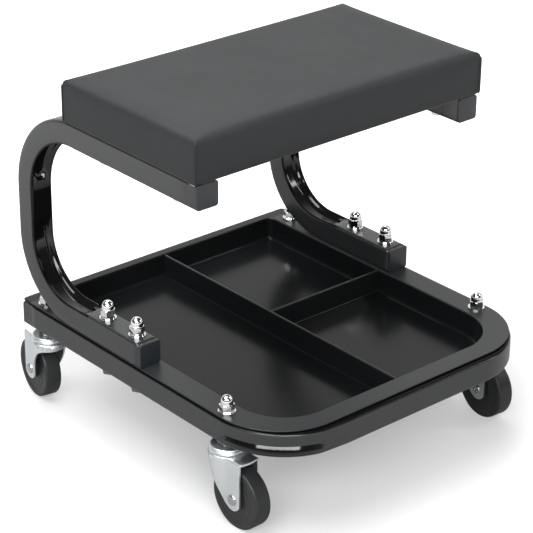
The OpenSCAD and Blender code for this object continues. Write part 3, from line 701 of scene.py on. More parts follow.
bm = bmesh.new()
rings = [rim_ring(bm, inset, RIM_TOP - drop) for inset, drop in ((0, 1.3), (0, 0.6), (0.18, 0.18), (0.6, 0))]
rings += [basin_ring(bm, inset, RIM_TOP - drop)
          for inset, drop in ((-1.3, 0), (-0.65, 0.17), (-0.17, 0.65), (0, 1.3))]
rings += [basin_ring(bm, inset, basin["floor"] + rise)
          for inset, rise in ((1.3, 4.0), (1.6, 2.47), (2.47, 1.17), (3.77, 0.3), (5.3, 0))]
for upper, lower in zip(rings, rings[1:]):
    bmesh.ops.bridge_loops(bm, edges=upper + lower)
bmesh.ops.contextual_create(bm, geom=rings[-1])
tray = finish_piece("tray_moulding", bm, tray_plastic, "frame", ["tool_tray"], smooth=50)
if tray.data.polygons[-1].normal.z < 0:
    tray.data.flip_normals()
add_wall(tray, TRAY_WALL)
even_shading(tray)
print("tray faces:", len(tray.data.polygons))

# %% [markdown]
# The dividers are moulded in one with the tray. A divider is thicker at its foot than at its top, for
# the same reason as the walls lean. It is drawn up from a flat strip, a step at a time, and each step
# is made narrower: a flared foot, a leaning wall and a rounded top.

# %% Dividers
def divider(name, centre, half_length, along_x):
    """A divider on the basin's floor. Each step is (half its thickness, height above the floor)."""
    steps = ((4.0, -0.3), (2.7, 0.25), (2.1, 1.0), (1.75, 2.6), (1.2, RIM_TOP - basin["floor"] - 1.1),
             (1.0, RIM_TOP - basin["floor"] - 0.7), (0.55, RIM_TOP - basin["floor"] - 0.5))
    bm = bmesh.new()
    made = bmesh.ops.create_grid(bm, x_segments=1, y_segments=1, size=1)
    face = made["verts"][0].link_faces[0]
    half, rise = steps[0]
    bmesh.ops.scale(bm, vec=(half, half_length, 1), verts=bm.verts)
    bmesh.ops.translate(bm, vec=(0, 0, rise), verts=bm.verts)
    foot = face
    for wide, height in steps[1:]:
        face = new_parts(bmesh.ops.extrude_face_region(bm, geom=[face]), bmesh.types.BMFace)[0]
        bmesh.ops.scale(bm, vec=(wide / half, 1, 1), verts=face.verts[:])
        bmesh.ops.translate(bm, vec=(0, 0, height - rise), verts=face.verts[:])
        half, rise = wide, height
    inner = [f for f in bm.faces if f != face and f != foot and abs(f.normal.z) > 0.99]
    bmesh.ops.delete(bm, geom=inner, context="FACES_ONLY")
    if along_x:
        bmesh.ops.rotate(bm, verts=bm.verts, matrix=Matrix.Rotation(math.pi / 2, 3, "Z"))
    bmesh.ops.translate(bm, verts=bm.verts, vec=(*centre, basin["floor"]))
    return finish_piece(name, bm, tray_plastic, "frame", smooth=50)


CROSS_DIVIDER_IN, INTO_WALL = 183.0, 0.6
long_middle = (basin["front"] + basin["rear"]) / 2
long_divider = divider("tray_long_divider", (0, long_middle),
                       (basin["rear"] - basin["front"]) / 2 + INTO_WALL, False)
cross_divider = divider("tray_cross_divider", (basin["x"] / 2, basin["front"] + CROSS_DIVIDER_IN),
                        basin["x"] / 2 + INTO_WALL, True)
print("dividers:", long_divider.name, cross_divider.name)

# %% [markdown]
# ## Casters
# A caster is drawn once about the Z axis with its wheel trailing along +X, then turned and carried to
# its corner. Its corner and its direction are read from the joints: the swivel joint gives the place,
# and the roll joint lies a trail's length away in the direction that the caster points.

# %% Where each caster stands
joints = {j["name"]: j for j in frame["joints"]}
CORNERS = ("front_left", "front_right", "rear_left", "rear_right")


def corner_matrix(corner):
    """The turn and place of a caster in mm."""
    swivel = Vector(joints["swivel_" + corner]["pos_m"]) / MM
    roll = Vector(joints["roll_" + corner]["pos_m"]) / MM
    reach = roll - swivel
    turn = math.atan2(reach.y, reach.x)
    return Matrix.Translation((swivel.x, swivel.y, 0)) @ Matrix.Rotation(turn, 4, "Z"), turn


swivel_at, roll_at = joints["swivel_front_left"]["pos_m"], joints["roll_front_left"]["pos_m"]
TRAIL = math.hypot(roll_at[0] - swivel_at[0], roll_at[1] - swivel_at[1]) / MM
AXLE_Z = roll_at[2] / MM
FORK_TOP = box_mm("fork_front_left")[1].z
print("trail", round(TRAIL, 1), "axle height", round(AXLE_Z, 1), "fork top", round(FORK_TOP, 1))

# %% [markdown]
# The fork is pressed from one sheet: a flat top with a round head, and two cheeks folded down from it.
# Its plan is an open line, an arc for the head and two straight sides. That line is drawn down in
# steps, and the lowest points stop where the cheek ends: a short skirt behind, a hollow sweep, a
# leaning edge and a round end about the axle. The top face is filled in, its fold is rounded with a
# bevel, and a Solidify modifier gives the sheet its 2 mm.

# %% Fork
HEAD_R, CHEEK_X, CHEEK_FRONT = 17.5, 12.3, TRAIL + 10
NECK, NECK_END = 0.5, TRAIL - 6.0
FORK_WALL, FOLD_R, FRONT_BOW = 2.0, 2.2, 2.0
SKIRT_Z, SWEEP_R, LEAN, END_R = FORK_TOP - 7.5, 13.0, math.radians(26), 11.0
END_X, END_Z = TRAIL - END_R * math.cos(LEAN), AXLE_Z - END_R * math.sin(LEAN)
KNEE_X = END_X - (SKIRT_Z - END_Z) * math.tan(LEAN)
SWEEP_REACH = SWEEP_R * math.tan(math.pi / 4 - LEAN / 2)


def cheek_bottom(x):
    """Height of the sheet's lower edge at x."""
    sweep_x = KNEE_X - SWEEP_REACH
    if x <= sweep_x:
        return SKIRT_Z
    if x <= KNEE_X + SWEEP_REACH * math.sin(LEAN):
        return SKIRT_Z - SWEEP_R + math.sqrt(SWEEP_R ** 2 - (x - sweep_x) ** 2)
    if x <= END_X:
        return END_Z + (END_X - x) / math.tan(LEAN)
    return AXLE_Z - math.sqrt(END_R ** 2 - min(END_R, abs(x - TRAIL)) ** 2)


def neck_point(t):
    """A point on the curve that runs from the round head to the flat cheek without a kink."""
    head_y = math.sqrt(HEAD_R ** 2 - NECK ** 2)
    head_slope = -NECK / head_y
    span = NECK_END - NECK
    y = ((2 * t ** 3 - 3 * t ** 2 + 1) * head_y + (t ** 3 - 2 * t ** 2 + t) * head_slope * span
         + (3 * t ** 2 - 2 * t ** 3) * CHEEK_X)
    return NECK + span * t, y


def new_tip(bm, tip, place):
    """Extend a line of edges from its end point to a new place."""
    made = bmesh.ops.extrude_vert_indiv(bm, verts=[tip])
    tip = new_parts({"geom": made["verts"]}, bmesh.types.BMVert)[0]
    tip.co = place
    return tip


def fork_mesh():
    """The pressed sheet's outer skin, about the Z axis, with its wheel towards +X."""
    bm = bmesh.new()
    start = bmesh.ops.create_vert(bm, co=(NECK, math.sqrt(HEAD_R ** 2 - NECK ** 2), 0))["vert"][0]
    sweep = 2 * math.pi - 2 * math.acos(NECK / HEAD_R)
    bmesh.ops.spin(bm, geom=[start], axis=(0, 0, 1), angle=sweep, steps=56)
    tips = [(side, max(bm.verts, key=lambda v: v.co.x + v.co.y * side * 0.5)) for side in (1, -1)]
    for end_side, tip in tips:
        run = [neck_point(i / 10) for i in range(1, 11)]
        run += [(NECK_END + (CHEEK_FRONT - NECK_END) * i / 20, CHEEK_X) for i in range(1, 21)]
        for x, y in run:
            tip = new_tip(bm, tip, (x, y * end_side, 0))
    outline = bm.edges[:]
    wall = outline
    bmesh.ops.translate(bm, verts=bm.verts, vec=(0, 0, FORK_TOP))
    levels = (0.12, 0.25, 0.45, 0.7, 1.0)
    for level in levels:
        made = bmesh.ops.extrude_edge_only(bm, edges=wall)
        fresh = set(new_parts(made, bmesh.types.BMVert))
        wall = list({e for v in fresh for e in v.link_edges if e.other_vert(v) in fresh})
        for v in fresh:
            v.co.z = FORK_TOP + (cheek_bottom(v.co.x) - FORK_TOP) * level
    ends = [v for v in bm.verts if v.co.z == FORK_TOP and abs(v.co.x - CHEEK_FRONT) < 0.01]
    front_edge = bmesh.ops.contextual_create(bm, geom=ends)["edges"]
    bow = bmesh.ops.subdivide_edges(bm, edges=front_edge, cuts=9)["geom_inner"]
    for v in (g for g in bow if isinstance(g, bmesh.types.BMVert)):
        v.co.x += FRONT_BOW * (1 - (v.co.y / CHEEK_X) ** 2)
    rim = [e for e in bm.edges if all(v.co.z == FORK_TOP for v in e.verts)]
    bmesh.ops.contextual_create(bm, geom=rim)
    bmesh.ops.bevel(bm, geom=[e for e in outline if e.is_valid], offset=FOLD_R, segments=4,
                    profile=0.5, affect="EDGES", material=-1)
    return bm


for corner in CORNERS:
    place, turn = corner_matrix(corner)
    bm = fork_mesh()
    bm.transform(place)
    fork = finish_piece("fork_pressing_" + corner, bm, zinc, "fork_" + corner,
                        ["fork_" + corner])
    top_face = max(fork.data.polygons, key=lambda p: p.area)
    if top_face.normal.z < 0:
        fork.data.flip_normals()
    add_wall(fork, FORK_WALL)
    soft = fork.modifiers.new("rounded rim", "BEVEL")
    soft.width, soft.segments = 0.35 * MM, 2
    soft.limit_method, soft.angle_limit = "ANGLE", math.radians(60)
print("fork faces:", len(fork.data.polygons))

# %% [markdown]
# Races, wheels and rivets are turned shapes. Each is a profile line that is spun a full turn about an
# axis. The profile is a chain of points (radius, height), and use_merge closes the spin where it meets
# itself. The race has rolled beads round its edge. The wheel is one solid moulding with faint rings on
# its sides, left by the turning of its mould, and a small radius on each edge of its tread.

# %% Turned shapes
def turned(points, steps, closed=True):
    """Spin a profile of (radius, height) points about Z."""
    bm = bmesh.new()
    tip = first = bmesh.ops.create_vert(bm, co=(points[0][0], 0, points[0][1]))["vert"][0]
    for radius, height in points[1:]:
        tip = new_tip(bm, tip, (radius, 0, height))
    if closed:
        bmesh.ops.contextual_create(bm, geom=[first, tip])
    bmesh.ops.spin(bm, geom=bm.verts[:] + bm.edges[:], axis=(0, 0, 1), angle=2 * math.pi, steps=steps,
                   use_merge=True)
    bmesh.ops.remove_doubles(bm, verts=bm.verts, dist=0.001)
    return bm


RACE_TOP = FORK_TOP + 6.5
race_profile = [(7.0, -2.0), (7.0, -0.3), (13.6, -0.3), (14.4, 0), (15.4, -0.1), (16.0, -0.6), (16.1, -1.2),
                (15.8, -1.7), (16.0, -2.1), (16.6, -2.5), (16.8, -3.1), (16.5, -3.7), (16.6, -4.1),
                (16.95, -4.6), (17.0, -5.1), (16.7, -5.5), (15.5, -5.5), (15.5, -2.2)]
for corner in CORNERS:
    place, turn = corner_matrix(corner)
    bm = turned([(r, RACE_TOP + z) for r, z in race_profile], 72)
    bm.transform(place)
    race = finish_piece("race_cup_" + corner, bm, zinc, "frame", ["race_" + corner],
                        smooth=60)

WHEEL_R, HALF_W, BORE, HUB = AXLE_Z, 8.75, 5.1, 10.0
half_wheel = [(BORE, HUB), (9.0, HUB), (9.5, HUB - 0.4), (9.6, 8.1), (10.4, 7.95), (14.0, 7.95), (14.3, 8.1),
              (14.7, 8.1), (15.0, 7.95), (19.0, 7.95), (19.3, 8.1), (19.7, 8.1), (20.0, 7.95), (24.0, 7.95),
              (24.6, 8.1), (25.2, 8.6), (25.8, HALF_W), (WHEEL_R - 2.0, HALF_W),
              (WHEEL_R - 1.2, HALF_W - 0.17), (WHEEL_R - 0.55, HALF_W - 0.6),
              (WHEEL_R - 0.14, HALF_W - 1.25), (WHEEL_R, HALF_W - 2.0), (WHEEL_R, 3.0)]
wheel_profile = half_wheel + [(r, -z) for r, z in reversed(half_wheel)]
on_axle = Matrix.Translation((TRAIL, 0, AXLE_Z)) @ Matrix.Rotation(math.pi / 2, 4, "X")
for corner in CORNERS:
    place, turn = corner_matrix(corner)
    bm = turned(wheel_profile, 128)
    bm.transform(place @ on_axle)
    wheel = finish_piece("wheel_moulding_" + corner, bm, wheel_plastic, "wheel_" + corner,
                         ["wheel_" + corner], smooth=40)
print("race faces", len(race.data.polygons), "wheel faces", len(wheel.data.polygons))

# %% [markdown]
# The axle is a semi-tubular rivet. It has a low round head on the outer side of the creeper, and its
# hollow end is rolled over a cheek on the inner side, which leaves a ring with a dark hole.

# %% Rivets
rivet_zinc = finish("worn_zinc_rivet", (0.5, 0.52, 0.535), 0.24, tint=(80, 0.15), shine=(80, 0.2),
                    texture=("peel", 900, 0.01), Metallic=1.0)
rivet_profile = [(0, -6), (2.0, -6.0), (2.05, -13.1), (2.4, -13.6), (3.2, -13.8), (4.2, -13.5),
                 (4.7, -12.9), (4.8, -12.35), (3.5, -12.3), (3.5, 12.3), (5.5, 12.35), (5.5, 12.9),
                 (5.1, 13.5), (4.2, 14.05), (3.0, 14.35), (1.5, 14.5), (0, 14.5)]
for corner in CORNERS:
    place, turn = corner_matrix(corner)
    outward = math.copysign(1, place.translation.x * math.sin(turn))
    bm = turned(rivet_profile, 40, closed=False)
    if outward < 0:
        bmesh.ops.scale(bm, vec=(1, 1, -1), verts=bm.verts)
    bm.transform(place @ on_axle)
    rivet = finish_piece("axle_rivet_" + corner, bm, rivet_zinc, "fork_" + corner,
                         ["rivet_" + corner], smooth=45)
print("rivet faces", len(rivet.data.polygons))

# %% [markdown]
# ## Cap nuts
# A cap nut is a hexagon whose upper corners are turned off to a cone, with a domed cap that hides the
# thread. One ring of points is drawn up the nut. At the hexagon its points lie on six flats, and each
# point's height follows the cone, which gives the curved line where a flat meets the chamfer. Above,
# the same ring is pulled in to a circle for the neck and dome.

# %% Cap nuts
FLAT_R, DOME_R, HEX_H, NUT_H = 6.5, 6.05, 7.0, 16.0


def flat_radius(angle):
    """Radius of a hexagon with inner radius FLAT_R, at an angle."""
    return FLAT_R / math.cos((angle + math.pi / 6) % (math.pi / 3) - math.pi / 6)


def cap_nut(bm, centre, turn):
    """Add a nut that stands at centre."""
    made = bmesh.ops.create_circle(bm, segments=72, radius=1)
    verts = made["verts"]
    ring = list({e for v in verts for e in v.link_edges})

    def shape(points, radius, height):
        for v in points:
            angle = math.atan2(v.co.y, v.co.x)
            r = radius(angle)
            v.co = (r * math.cos(angle), r * math.sin(angle), height(r))

    def cone(r):
        return (r - FLAT_R) * 0.55

    dome = [(DOME_R * math.cos(a), NUT_H - DOME_R + DOME_R * math.sin(a))
            for a in (math.radians(d) for d in range(0, 90, 10))]
    levels = [(flat_radius, lambda r: 0.15 + cone(r)), (flat_radius, lambda r: HEX_H - 0.15 - cone(r)),
              (lambda a: FLAT_R - 0.1, lambda r: HEX_H - 0.1), (lambda a: DOME_R + 0.1, lambda r: HEX_H),
              (lambda a: DOME_R, lambda r: HEX_H + 0.25)]
    levels += [(lambda a, r=r: r, lambda _, z=z: z) for r, z in dome]
    shape(verts, lambda a: FLAT_R - 0.3, lambda r: 0.0)
    every = list(verts)
    for radius, height in levels:
        made = bmesh.ops.extrude_edge_only(bm, edges=ring)
        fresh = set(new_parts(made, bmesh.types.BMVert))
        ring = list({e for v in fresh for e in v.link_edges if e.other_vert(v) in fresh})
        shape(fresh, radius, height)
        every += fresh
    tip = bmesh.ops.contextual_create(bm, geom=ring)["faces"]
    poke = bmesh.ops.poke(bm, faces=tip)
    poke["verts"][0].co = (0, 0, NUT_H)
    every += poke["verts"]
    base_ring = [e for v in verts for e in v.link_edges if e.other_vert(v) in set(verts)]
    bmesh.ops.contextual_create(bm, geom=list(set(base_ring)))
    bmesh.ops.transform(bm, matrix=Matrix.Translation(centre) @ Matrix.Rotation(turn, 4, "Z"), verts=every)


def solids_of(node):
    """(middle, low, high) in mm of each separate solid of a CAD node."""
    bm = bmesh.new()
    bm.from_mesh(nodes[node].data)
    bmesh.ops.remove_doubles(bm, verts=bm.verts, dist=1e-6)
    left, found = set(bm.verts), []
    while left:
        island, queue = set(), [left.pop()]
        while queue:
            v = queue.pop()
            island.add(v)
            fresh = [e.other_vert(v) for e in v.link_edges if e.other_vert(v) in left]
            left.difference_update(fresh)
            queue += fresh
        cos = [v.co / MM for v in island]
        lo = Vector([min(c[i] for c in cos) for i in range(3)])
        hi = Vector([max(c[i] for c in cos) for i in range(3)])
        found.append(((lo + hi) / 2, lo, hi))
    bm.free()
    return sorted(found, key=lambda s: (round(s[0].x), round(s[0].y)))


NUT_TURNS = (0.9, 0.25, 1.3, 0.6)
for node, piece in (("leg_cap_nuts", "leg_nuts_chromed"), ("caster_cap_nuts", "caster_nuts_chromed")):
    bm = bmesh.new()
    for (middle, lo, hi), turn in zip(solids_of(node), NUT_TURNS):
        cap_nut(bm, (middle.x, middle.y, lo.z), turn)
    nuts = finish_piece(piece, bm, chrome, "frame", [node], smooth=32, weld=False)
    print(nuts.name, len(nuts.data.polygons), "faces")

# %% [markdown]
# ## Seat cushion
# The seat is a block of firm foam on plywood, wrapped in vinyl that is pulled tight and stapled below.
# The foam pushes the vinyl out a little between its seams, so the faces are slightly crowned, while
# the sewn corners and the stapled lower edge stay where they are. A cloth simulation with air
# pressure inside gives that shape: the corner columns and the lower edge are pinned, and no point may
# move further than a firm block would let it.

# %% Cushion block
low, high = box_mm("seat_cover")
SEAT_CORNER, SEAT_EDGE, FOOT_EDGE = 2.2, 4.6, 3.0
SQUARES = (44, 24, 5)
seat_size = high - low
seat_middle = (low + high) / 2


def cushion_block(shrink):
    """A box with rounded upright corners and top edges, cut into small squares."""
    bm = bmesh.new()
    bmesh.ops.create_cube(bm, size=1)
    size = seat_size - Vector((2 * shrink, 2 * shrink, shrink))
    bmesh.ops.scale(bm, vec=size, verts=bm.verts)
    bmesh.ops.translate(bm, vec=seat_middle + Vector((0, 0, -shrink / 2)), verts=bm.verts)
    for axis, count in enumerate(SQUARES):
        start, end = low[axis], high[axis]
        for i in range(1, count):
            plane = start + (end - start) * i / count
            normal = Vector([1.0 if k == axis else 0.0 for k in range(3)])
            bmesh.ops.bisect_plane(bm, geom=bm.verts[:] + bm.edges[:] + bm.faces[:],
                                   plane_co=normal * plane, plane_no=normal)

    def on(v, axis, value):
        return abs(v.co[axis] - value) < 0.01
    x, y = seat_size.x / 2 - shrink, size.y / 2
    upright = [e for e in bm.edges if all(on(v, 0, math.copysign(x, v.co.x)) for v in e.verts)
               and all(abs(abs(v.co.y - seat_middle.y) - y) < 0.01 for v in e.verts)]
    bmesh.ops.bevel(bm, geom=upright, offset=SEAT_CORNER, segments=4, profile=0.5,
                    affect="EDGES", material=-1)
    for level, radius, segments in ((high.z - shrink, SEAT_EDGE, 4), (low.z, FOOT_EDGE, 3)):
        rim = [e for e in bm.edges if len(e.link_faces) == 2 and all(on(v, 2, level) for v in e.verts)
               and e.calc_face_angle(0) > 1.0]
        bmesh.ops.bevel(bm, geom=rim, offset=radius, segments=segments, profile=0.5,
                        affect="EDGES", material=-1)
    return bm


# %% [markdown]
# The simulation runs on a copy of the block as it comes, with no remesh, because the corners of this
# seat are crisp and a remesh would round them off. Afterwards each point's movement is capped.

# %% Inflate the cushion
PRESSURE, CAP, CLOTH_FRAMES = 4.0, 2.2, 20


def simulate(piece, pinned):
    """Blow the piece up as cloth, held at the pinned points, and keep the result in its mesh."""
    rest = [v.co.copy() for v in piece.data.vertices]
    group = piece.vertex_groups.new(name="held")
    group.add(pinned, 1.0, "REPLACE")
    cloth = piece.modifiers.new("cloth", "CLOTH")
    settings = cloth.settings
    settings.quality = 6
    settings.mass = 0.25
    settings.tension_stiffness = settings.compression_stiffness = 22
    settings.shear_stiffness = 12
    settings.bending_stiffness = 3
    settings.use_pressure = True
    settings.uniform_pressure_force = PRESSURE
    settings.vertex_group_mass = "held"
    settings.effector_weights.gravity = 0
    scene = bpy.context.scene
    for frame_number in range(1, CLOTH_FRAMES + 1):
        scene.frame_set(frame_number)
    shown = piece.evaluated_get(bpy.context.evaluated_depsgraph_get())
    moved = [v.co.copy() for v in shown.data.vertices]
    piece.modifiers.remove(cloth)
    piece.vertex_groups.remove(group)
    scene.frame_set(1)
    furthest = 0.0
    for v, a, b in zip(piece.data.vertices, rest, moved):
        step = b - a
        if step.length > CAP * MM:
            step *= CAP * MM / step.length
        v.co = a + step
        furthest = max(furthest, step.length)
    return furthest


bm = cushion_block(0.3)
cushion = finish_piece("seat_cushion", bm, vinyl, "frame", ["seat_cover", "seat_foam"], smooth=180)
corner_x, corner_y = seat_size.x / 2 - 8, seat_size.y / 2 - 8
held = [v.index for v in cushion.data.vertices
        if v.co.z / MM < low.z + 3
        or (abs(v.co.x) / MM > corner_x and abs(v.co.y / MM - seat_middle.y) > corner_y)]
furthest = simulate(cushion, held)
print("the vinyl moved up to", round(furthest / MM, 2), "mm")

# %% [markdown]
# The underside is then hollowed so that the plywood fits in it, and one subdivision smooths the
# squares. The cushion is packed tight with firm foam.

# %% Hollow the underside
VINYL_IN, BOARD_ROOM = 0.6, 13.2
bm = bmesh.new()
bm.from_mesh(cushion.data)
under = [f for f in bm.faces if f.normal.z < -0.9 and f.calc_center_median().z / MM < low.z + 1]
bmesh.ops.inset_region(bm, faces=under, thickness=VINYL_IN * MM, use_even_offset=True)
grown = bmesh.ops.extrude_face_region(bm, geom=under)
bmesh.ops.delete(bm, geom=[f for f in under if f.is_valid], context="FACES_ONLY")
bmesh.ops.translate(bm, verts=new_parts(grown, bmesh.types.BMVert), vec=(0, 0, BOARD_ROOM * MM))
bmesh.ops.recalc_face_normals(bm, faces=bm.faces)
bm.to_mesh(cushion.data)
bm.free()
cushion.data.shade_smooth()
soft = cushion.modifiers.new("smooth vinyl", "SUBSURF")
soft.levels = soft.render_levels = 1
print("cushion faces:", len(cushion.data.polygons))

# %% [markdown]
# Each upright corner has a sewn seam: the two panels are stitched inside out, so from outside there
# is a fine crease in shade with the fold of one panel standing as a thin bead beside it. Bead and line are
# thin round cords drawn down the corner, thinner at their ends so that they run out into the vinyl. The
# line is a near-black cord, a painted shadow of the crease.

# %% Corner seams
seam_shade = finish("seam_shadow", (0.006, 0.006, 0.007), 0.7, texture=("peel", 900, 0.05))


def corner_cord(bm, x, y, radius, z0, z1):
    """An upright cord that tapers at both ends."""
    made = bmesh.ops.create_circle(bm, segments=8, radius=radius)
    ring = list({e for v in made["verts"] for e in v.link_edges})
    every = list(made["verts"])
    bmesh.ops.translate(bm, verts=every, vec=(x, y, z0))
    bmesh.ops.scale(bm, vec=(0.3, 0.3, 1), space=Matrix.Translation((-x, -y, 0)), verts=every)
    bmesh.ops.contextual_create(bm, geom=ring)
    steps = 12
    for i in range(1, steps + 1):
        fresh = set(new_parts(bmesh.ops.extrude_edge_only(bm, edges=ring), bmesh.types.BMVert))
        ring = list({e for v in fresh for e in v.link_edges if e.other_vert(v) in fresh})
        bmesh.ops.translate(bm, verts=list(fresh), vec=(0, 0, (z1 - z0) / steps))
        grow = {1: 1 / 0.3, steps: 0.3}.get(i, 1)
        bmesh.ops.scale(bm, vec=(grow, grow, 1), space=Matrix.Translation((-x, -y, 0)), verts=list(fresh))
    bmesh.ops.contextual_create(bm, geom=ring)


# A round corner's middle lies 0.29 of its radius in from the square corner
edge_x = seat_size.x / 2 - 0.29 * SEAT_CORNER
edge_y = seat_size.y / 2 - 0.29 * SEAT_CORNER
for label, material, shift, radius in (("bead", vinyl, 1.3, 0.75), ("line", seam_shade, -0.1, 0.95)):
    bm = bmesh.new()
    cord_y = edge_y + min(shift * 0.25, 0.3)
    for sx in (-1, 1):
        for sy in (-1, 1):
            corner_cord(bm, sx * (edge_x - shift), seat_middle.y + sy * cord_y, radius,
                        low.z + 0.8, high.z - 4.4)
    finish_piece("corner_seam_" + label, bm, material, "frame", smooth=60)
print("corner seams run", round(seat_size.z - 6), "mm down the corners")

# %% [markdown]
# Under the seat the vinyl is turned in as a hem and stapled to the board. The hem is a flat frame of
# vinyl with a rounded opening. Between staples its inner edge stands off the board a little.

# %% Hem
HEM_X, HEM_Y = 144.0, 64.0
bm = bmesh.new()
rings = []
for half_x, half_y, radius, z in ((seat_size.x / 2 - 2.0, seat_size.y / 2 - 2.0, 3.0, low.z + 0.95),
                                  (seat_size.x / 2 - 3.0, seat_size.y / 2 - 3.0, 3.0, low.z + 0.35),
                                  (HEM_X + 8, HEM_Y + 8, 5.0, low.z + 0.3), (HEM_X, HEM_Y, 4.0, low.z + 0.3)):
    ring = plan_ring(bm, half_x, seat_middle.y - half_y, seat_middle.y + half_y, radius, radius, z)
    sides = [e for e in ring if e.calc_length() > 30]
    cut = bmesh.ops.subdivide_edges(bm, edges=sides, cuts=31)
    verts = {v for e in ring for v in e.verts}
    verts |= {part for part in cut["geom_inner"] if isinstance(part, bmesh.types.BMVert)}
    rings.append(list({e for v in verts for e in v.link_edges if e.other_vert(v) in verts}))
for outer, inner in zip(rings, rings[1:]):
    bmesh.ops.bridge_loops(bm, edges=outer + inner)
for v in bm.verts:
    near_edge = max(abs(v.co.x) - HEM_X, abs(v.co.y - seat_middle.y) - HEM_Y)
    if near_edge < 1:
        v.co.z -= 0.25 * (1 - abs(math.sin(v.co.x * 0.17 + v.co.y * 0.17)))
hem = finish_piece("seat_hem", bm, vinyl, "frame", smooth=60)
add_wall(hem, 0.5).offset = 0
print("hem faces:", len(hem.data.polygons))

# %% [markdown]
# ## Pieces that keep their CAD shape
# Bolts, washers, stems, balls, sleeves, the plywood, the T-nuts and the staples already have their
# real shape in the CAD model, so they only get a finish. The finish is chosen by the first words of
# the node's name.

# %% Finishes for CAD pieces
# The dull dark zinc is partly painted shade: its darkness stands in for the shade on the bolts and washers
# under the base tube and on the stems in the gap under each race.
dark_zinc_and_shade = finish("dull_dark_zinc_and_painted_shade", (0.16, 0.17, 0.18), 0.42, tint=(60, 0.2), shine=(60, 0.2),
                   texture=("peel", 900, 0.02), Metallic=1.0)
kept = {"leg_bolt_washers": dark_zinc_and_shade, "leg_nut_washers": chrome, "leg_spring_washers": chrome,
        "caster_nut_washers": chrome, "leg_bolts": dark_zinc_and_shade, "seat_board": plywood, "seat_staples": zinc,
        "seat_t_nuts": zinc, "seat_bolts": zinc, "seat_bolt_washers": zinc, "seat_foam": foam,
        "stem": dark_zinc_and_shade, "balls": ball_steel, "sleeve": zinc}
dressed = 0
for name, node in nodes.items():
    for words, material in kept.items():
        if name.startswith(words):
            node.data.materials.clear()
            node.data.materials.append(material)
            dressed += 1
            break
print(dressed, "CAD pieces dressed")

# %% [markdown]
# ## Floor and light
# The creeper stands on a plain pale floor in a studio. Two soft lamps hang above it, one over the left
# side and one over the middle, a wide strip stands in front and a slim one at the right. Glossy black
# paint shows mostly what it reflects, so the room is kept dark on the side a viewer stands on, and is
# bright behind. That gives the paint its deep blacks with a few sharp bright lines. The floor looks
# paler than the light it gives back. Its glow as the camera sees it is weaker near the creeper, a
# painted soft shade round it, and rises to white with distance. To other rays the floor is darker near
# the creeper, and a ring of it further out glows and lights the creeper like a hidden lamp.

# %% Floor and lights
bm = bmesh.new()
bmesh.ops.create_grid(bm, x_segments=2, y_segments=2, size=9)
mesh = bpy.data.meshes.new("floor")
bm.to_mesh(mesh)
bm.free()
floor = bpy.data.objects.new("floor", mesh)
bpy.context.scene.collection.objects.link(floor)
floor_paint = finish("pale_floor", (0.52, 0.52, 0.523), 0.6, tint=(1.5, 0.02), texture=("peel", 60, 0.02),
                     Emission_Color=(1, 1, 1, 1), Emission_Strength=0.30)
tree = floor_paint.node_tree
shader = tree.nodes["Principled BSDF"]
from_middle = add(tree, "ShaderNodeVectorMath", {0: object_coordinates(tree)},
                  operation="LENGTH").outputs["Value"]
near_dim = add(tree, "ShaderNodeBsdfDiffuse", {"Color": (0.38, 0.38, 0.38, 1)})
far_glow = add(tree, "ShaderNodeMapRange", {"Value": from_middle, "From Min": 0.5, "From Max": 1.1,
                                            "To Min": 0.0, "To Max": 0.65})
glow = add(tree, "ShaderNodeEmission", {"Strength": far_glow.outputs[0]})
dim = add(tree, "ShaderNodeAddShader", {0: near_dim.outputs[0], 1: glow.outputs[0]})
seen = add(tree, "ShaderNodeLightPath")
choice = add(tree, "ShaderNodeMixShader", {0: seen.outputs["Is Camera Ray"], 1: dim.outputs[0],
                                           2: shader.outputs[0]})
tree.links.new(choice.outputs[0], tree.nodes["Material Output"].inputs["Surface"])
# Painted shade: the glow the camera sees is weaker near the creeper and rises with distance
glow_with_painted_shade = add(tree, "ShaderNodeMapRange", {"Value": from_middle, "From Min": 0.25, "From Max": 0.6,
                                           "To Min": 0.33, "To Max": 1.0})
tree.links.new(glow_with_painted_shade.outputs[0], shader.inputs["Emission Strength"])
mesh.materials.append(floor_paint)

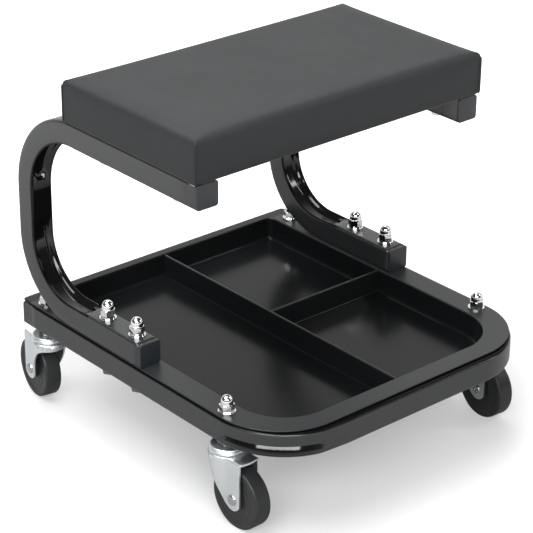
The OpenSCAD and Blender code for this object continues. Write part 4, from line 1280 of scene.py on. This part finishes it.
scene = bpy.context.scene
scene.view_settings.view_transform = "Standard"
ROOM_DARK = 0.1
BEHIND = (0.656, 0.755, 0.0)
world = bpy.data.worlds.new("studio")
world.use_nodes = True
tree = world.node_tree
shown = tree.nodes["Background"]
shown.inputs["Color"].default_value = (1.0, 1.0, 1.0, 1)
towards = object_coordinates(tree)
away = add(tree, "ShaderNodeVectorMath", {0: towards, 1: BEHIND}, operation="DOT_PRODUCT")
backdrop = add(tree, "ShaderNodeMapRange",
               {"Value": away.outputs["Value"], "From Min": 0.25, "From Max": 0.8,
                "To Min": ROOM_DARK, "To Max": 1.0}, interpolation_type="SMOOTHSTEP")
upward = add(tree, "ShaderNodeSeparateXYZ", {"Vector": towards}).outputs["Z"]
horizon = add(tree, "ShaderNodeMapRange", {"Value": upward, "From Min": 0.01, "From Max": 0.14,
                                           "To Min": 0.9, "To Max": 0.0}, interpolation_type="SMOOTHSTEP")
room = add(tree, "ShaderNodeMath", {0: backdrop.outputs[0], 1: horizon.outputs[0]}, operation="MAXIMUM")
seen = add(tree, "ShaderNodeLightPath").outputs["Is Camera Ray"]
strength = add(tree, "ShaderNodeMath", {0: room.outputs[0], 1: seen}, operation="MAXIMUM")
tree.links.new(strength.outputs[0], shown.inputs["Strength"])
scene.world = world


def lamp(name, place, target, size, energy):
    """A rectangular soft lamp at a place, turned to face a target. Sizes in metres, energy in watts."""
    data = bpy.data.lights.new(name, "AREA")
    data.shape = "RECTANGLE"
    data.size, data.size_y = size
    data.energy = energy
    obj = bpy.data.objects.new(name, data)
    scene.collection.objects.link(obj)
    obj.location = place
    obj.rotation_euler = (Vector(target) - Vector(place)).to_track_quat("-Z", "Y").to_euler()


lamp("soft lamp", (-1.0, 0.1, 2.6), (0, 0, 0.2), (1.6, 1.6), 55)
lamp("overhead lamp", (0.2, 0.7, 2.3), (0, 0, 0.1), (1.2, 1.6), 22)
lamp("front strip", (-1.71, -1.6, 1.63), (0, 0, 0.15), (2.6, 0.8), 75)
lamp("right strip", (1.3, -0.95, 1.35), (0, 0, 0.2), (0.12, 1.6), 7)

# %% [markdown]

# %% json
import json
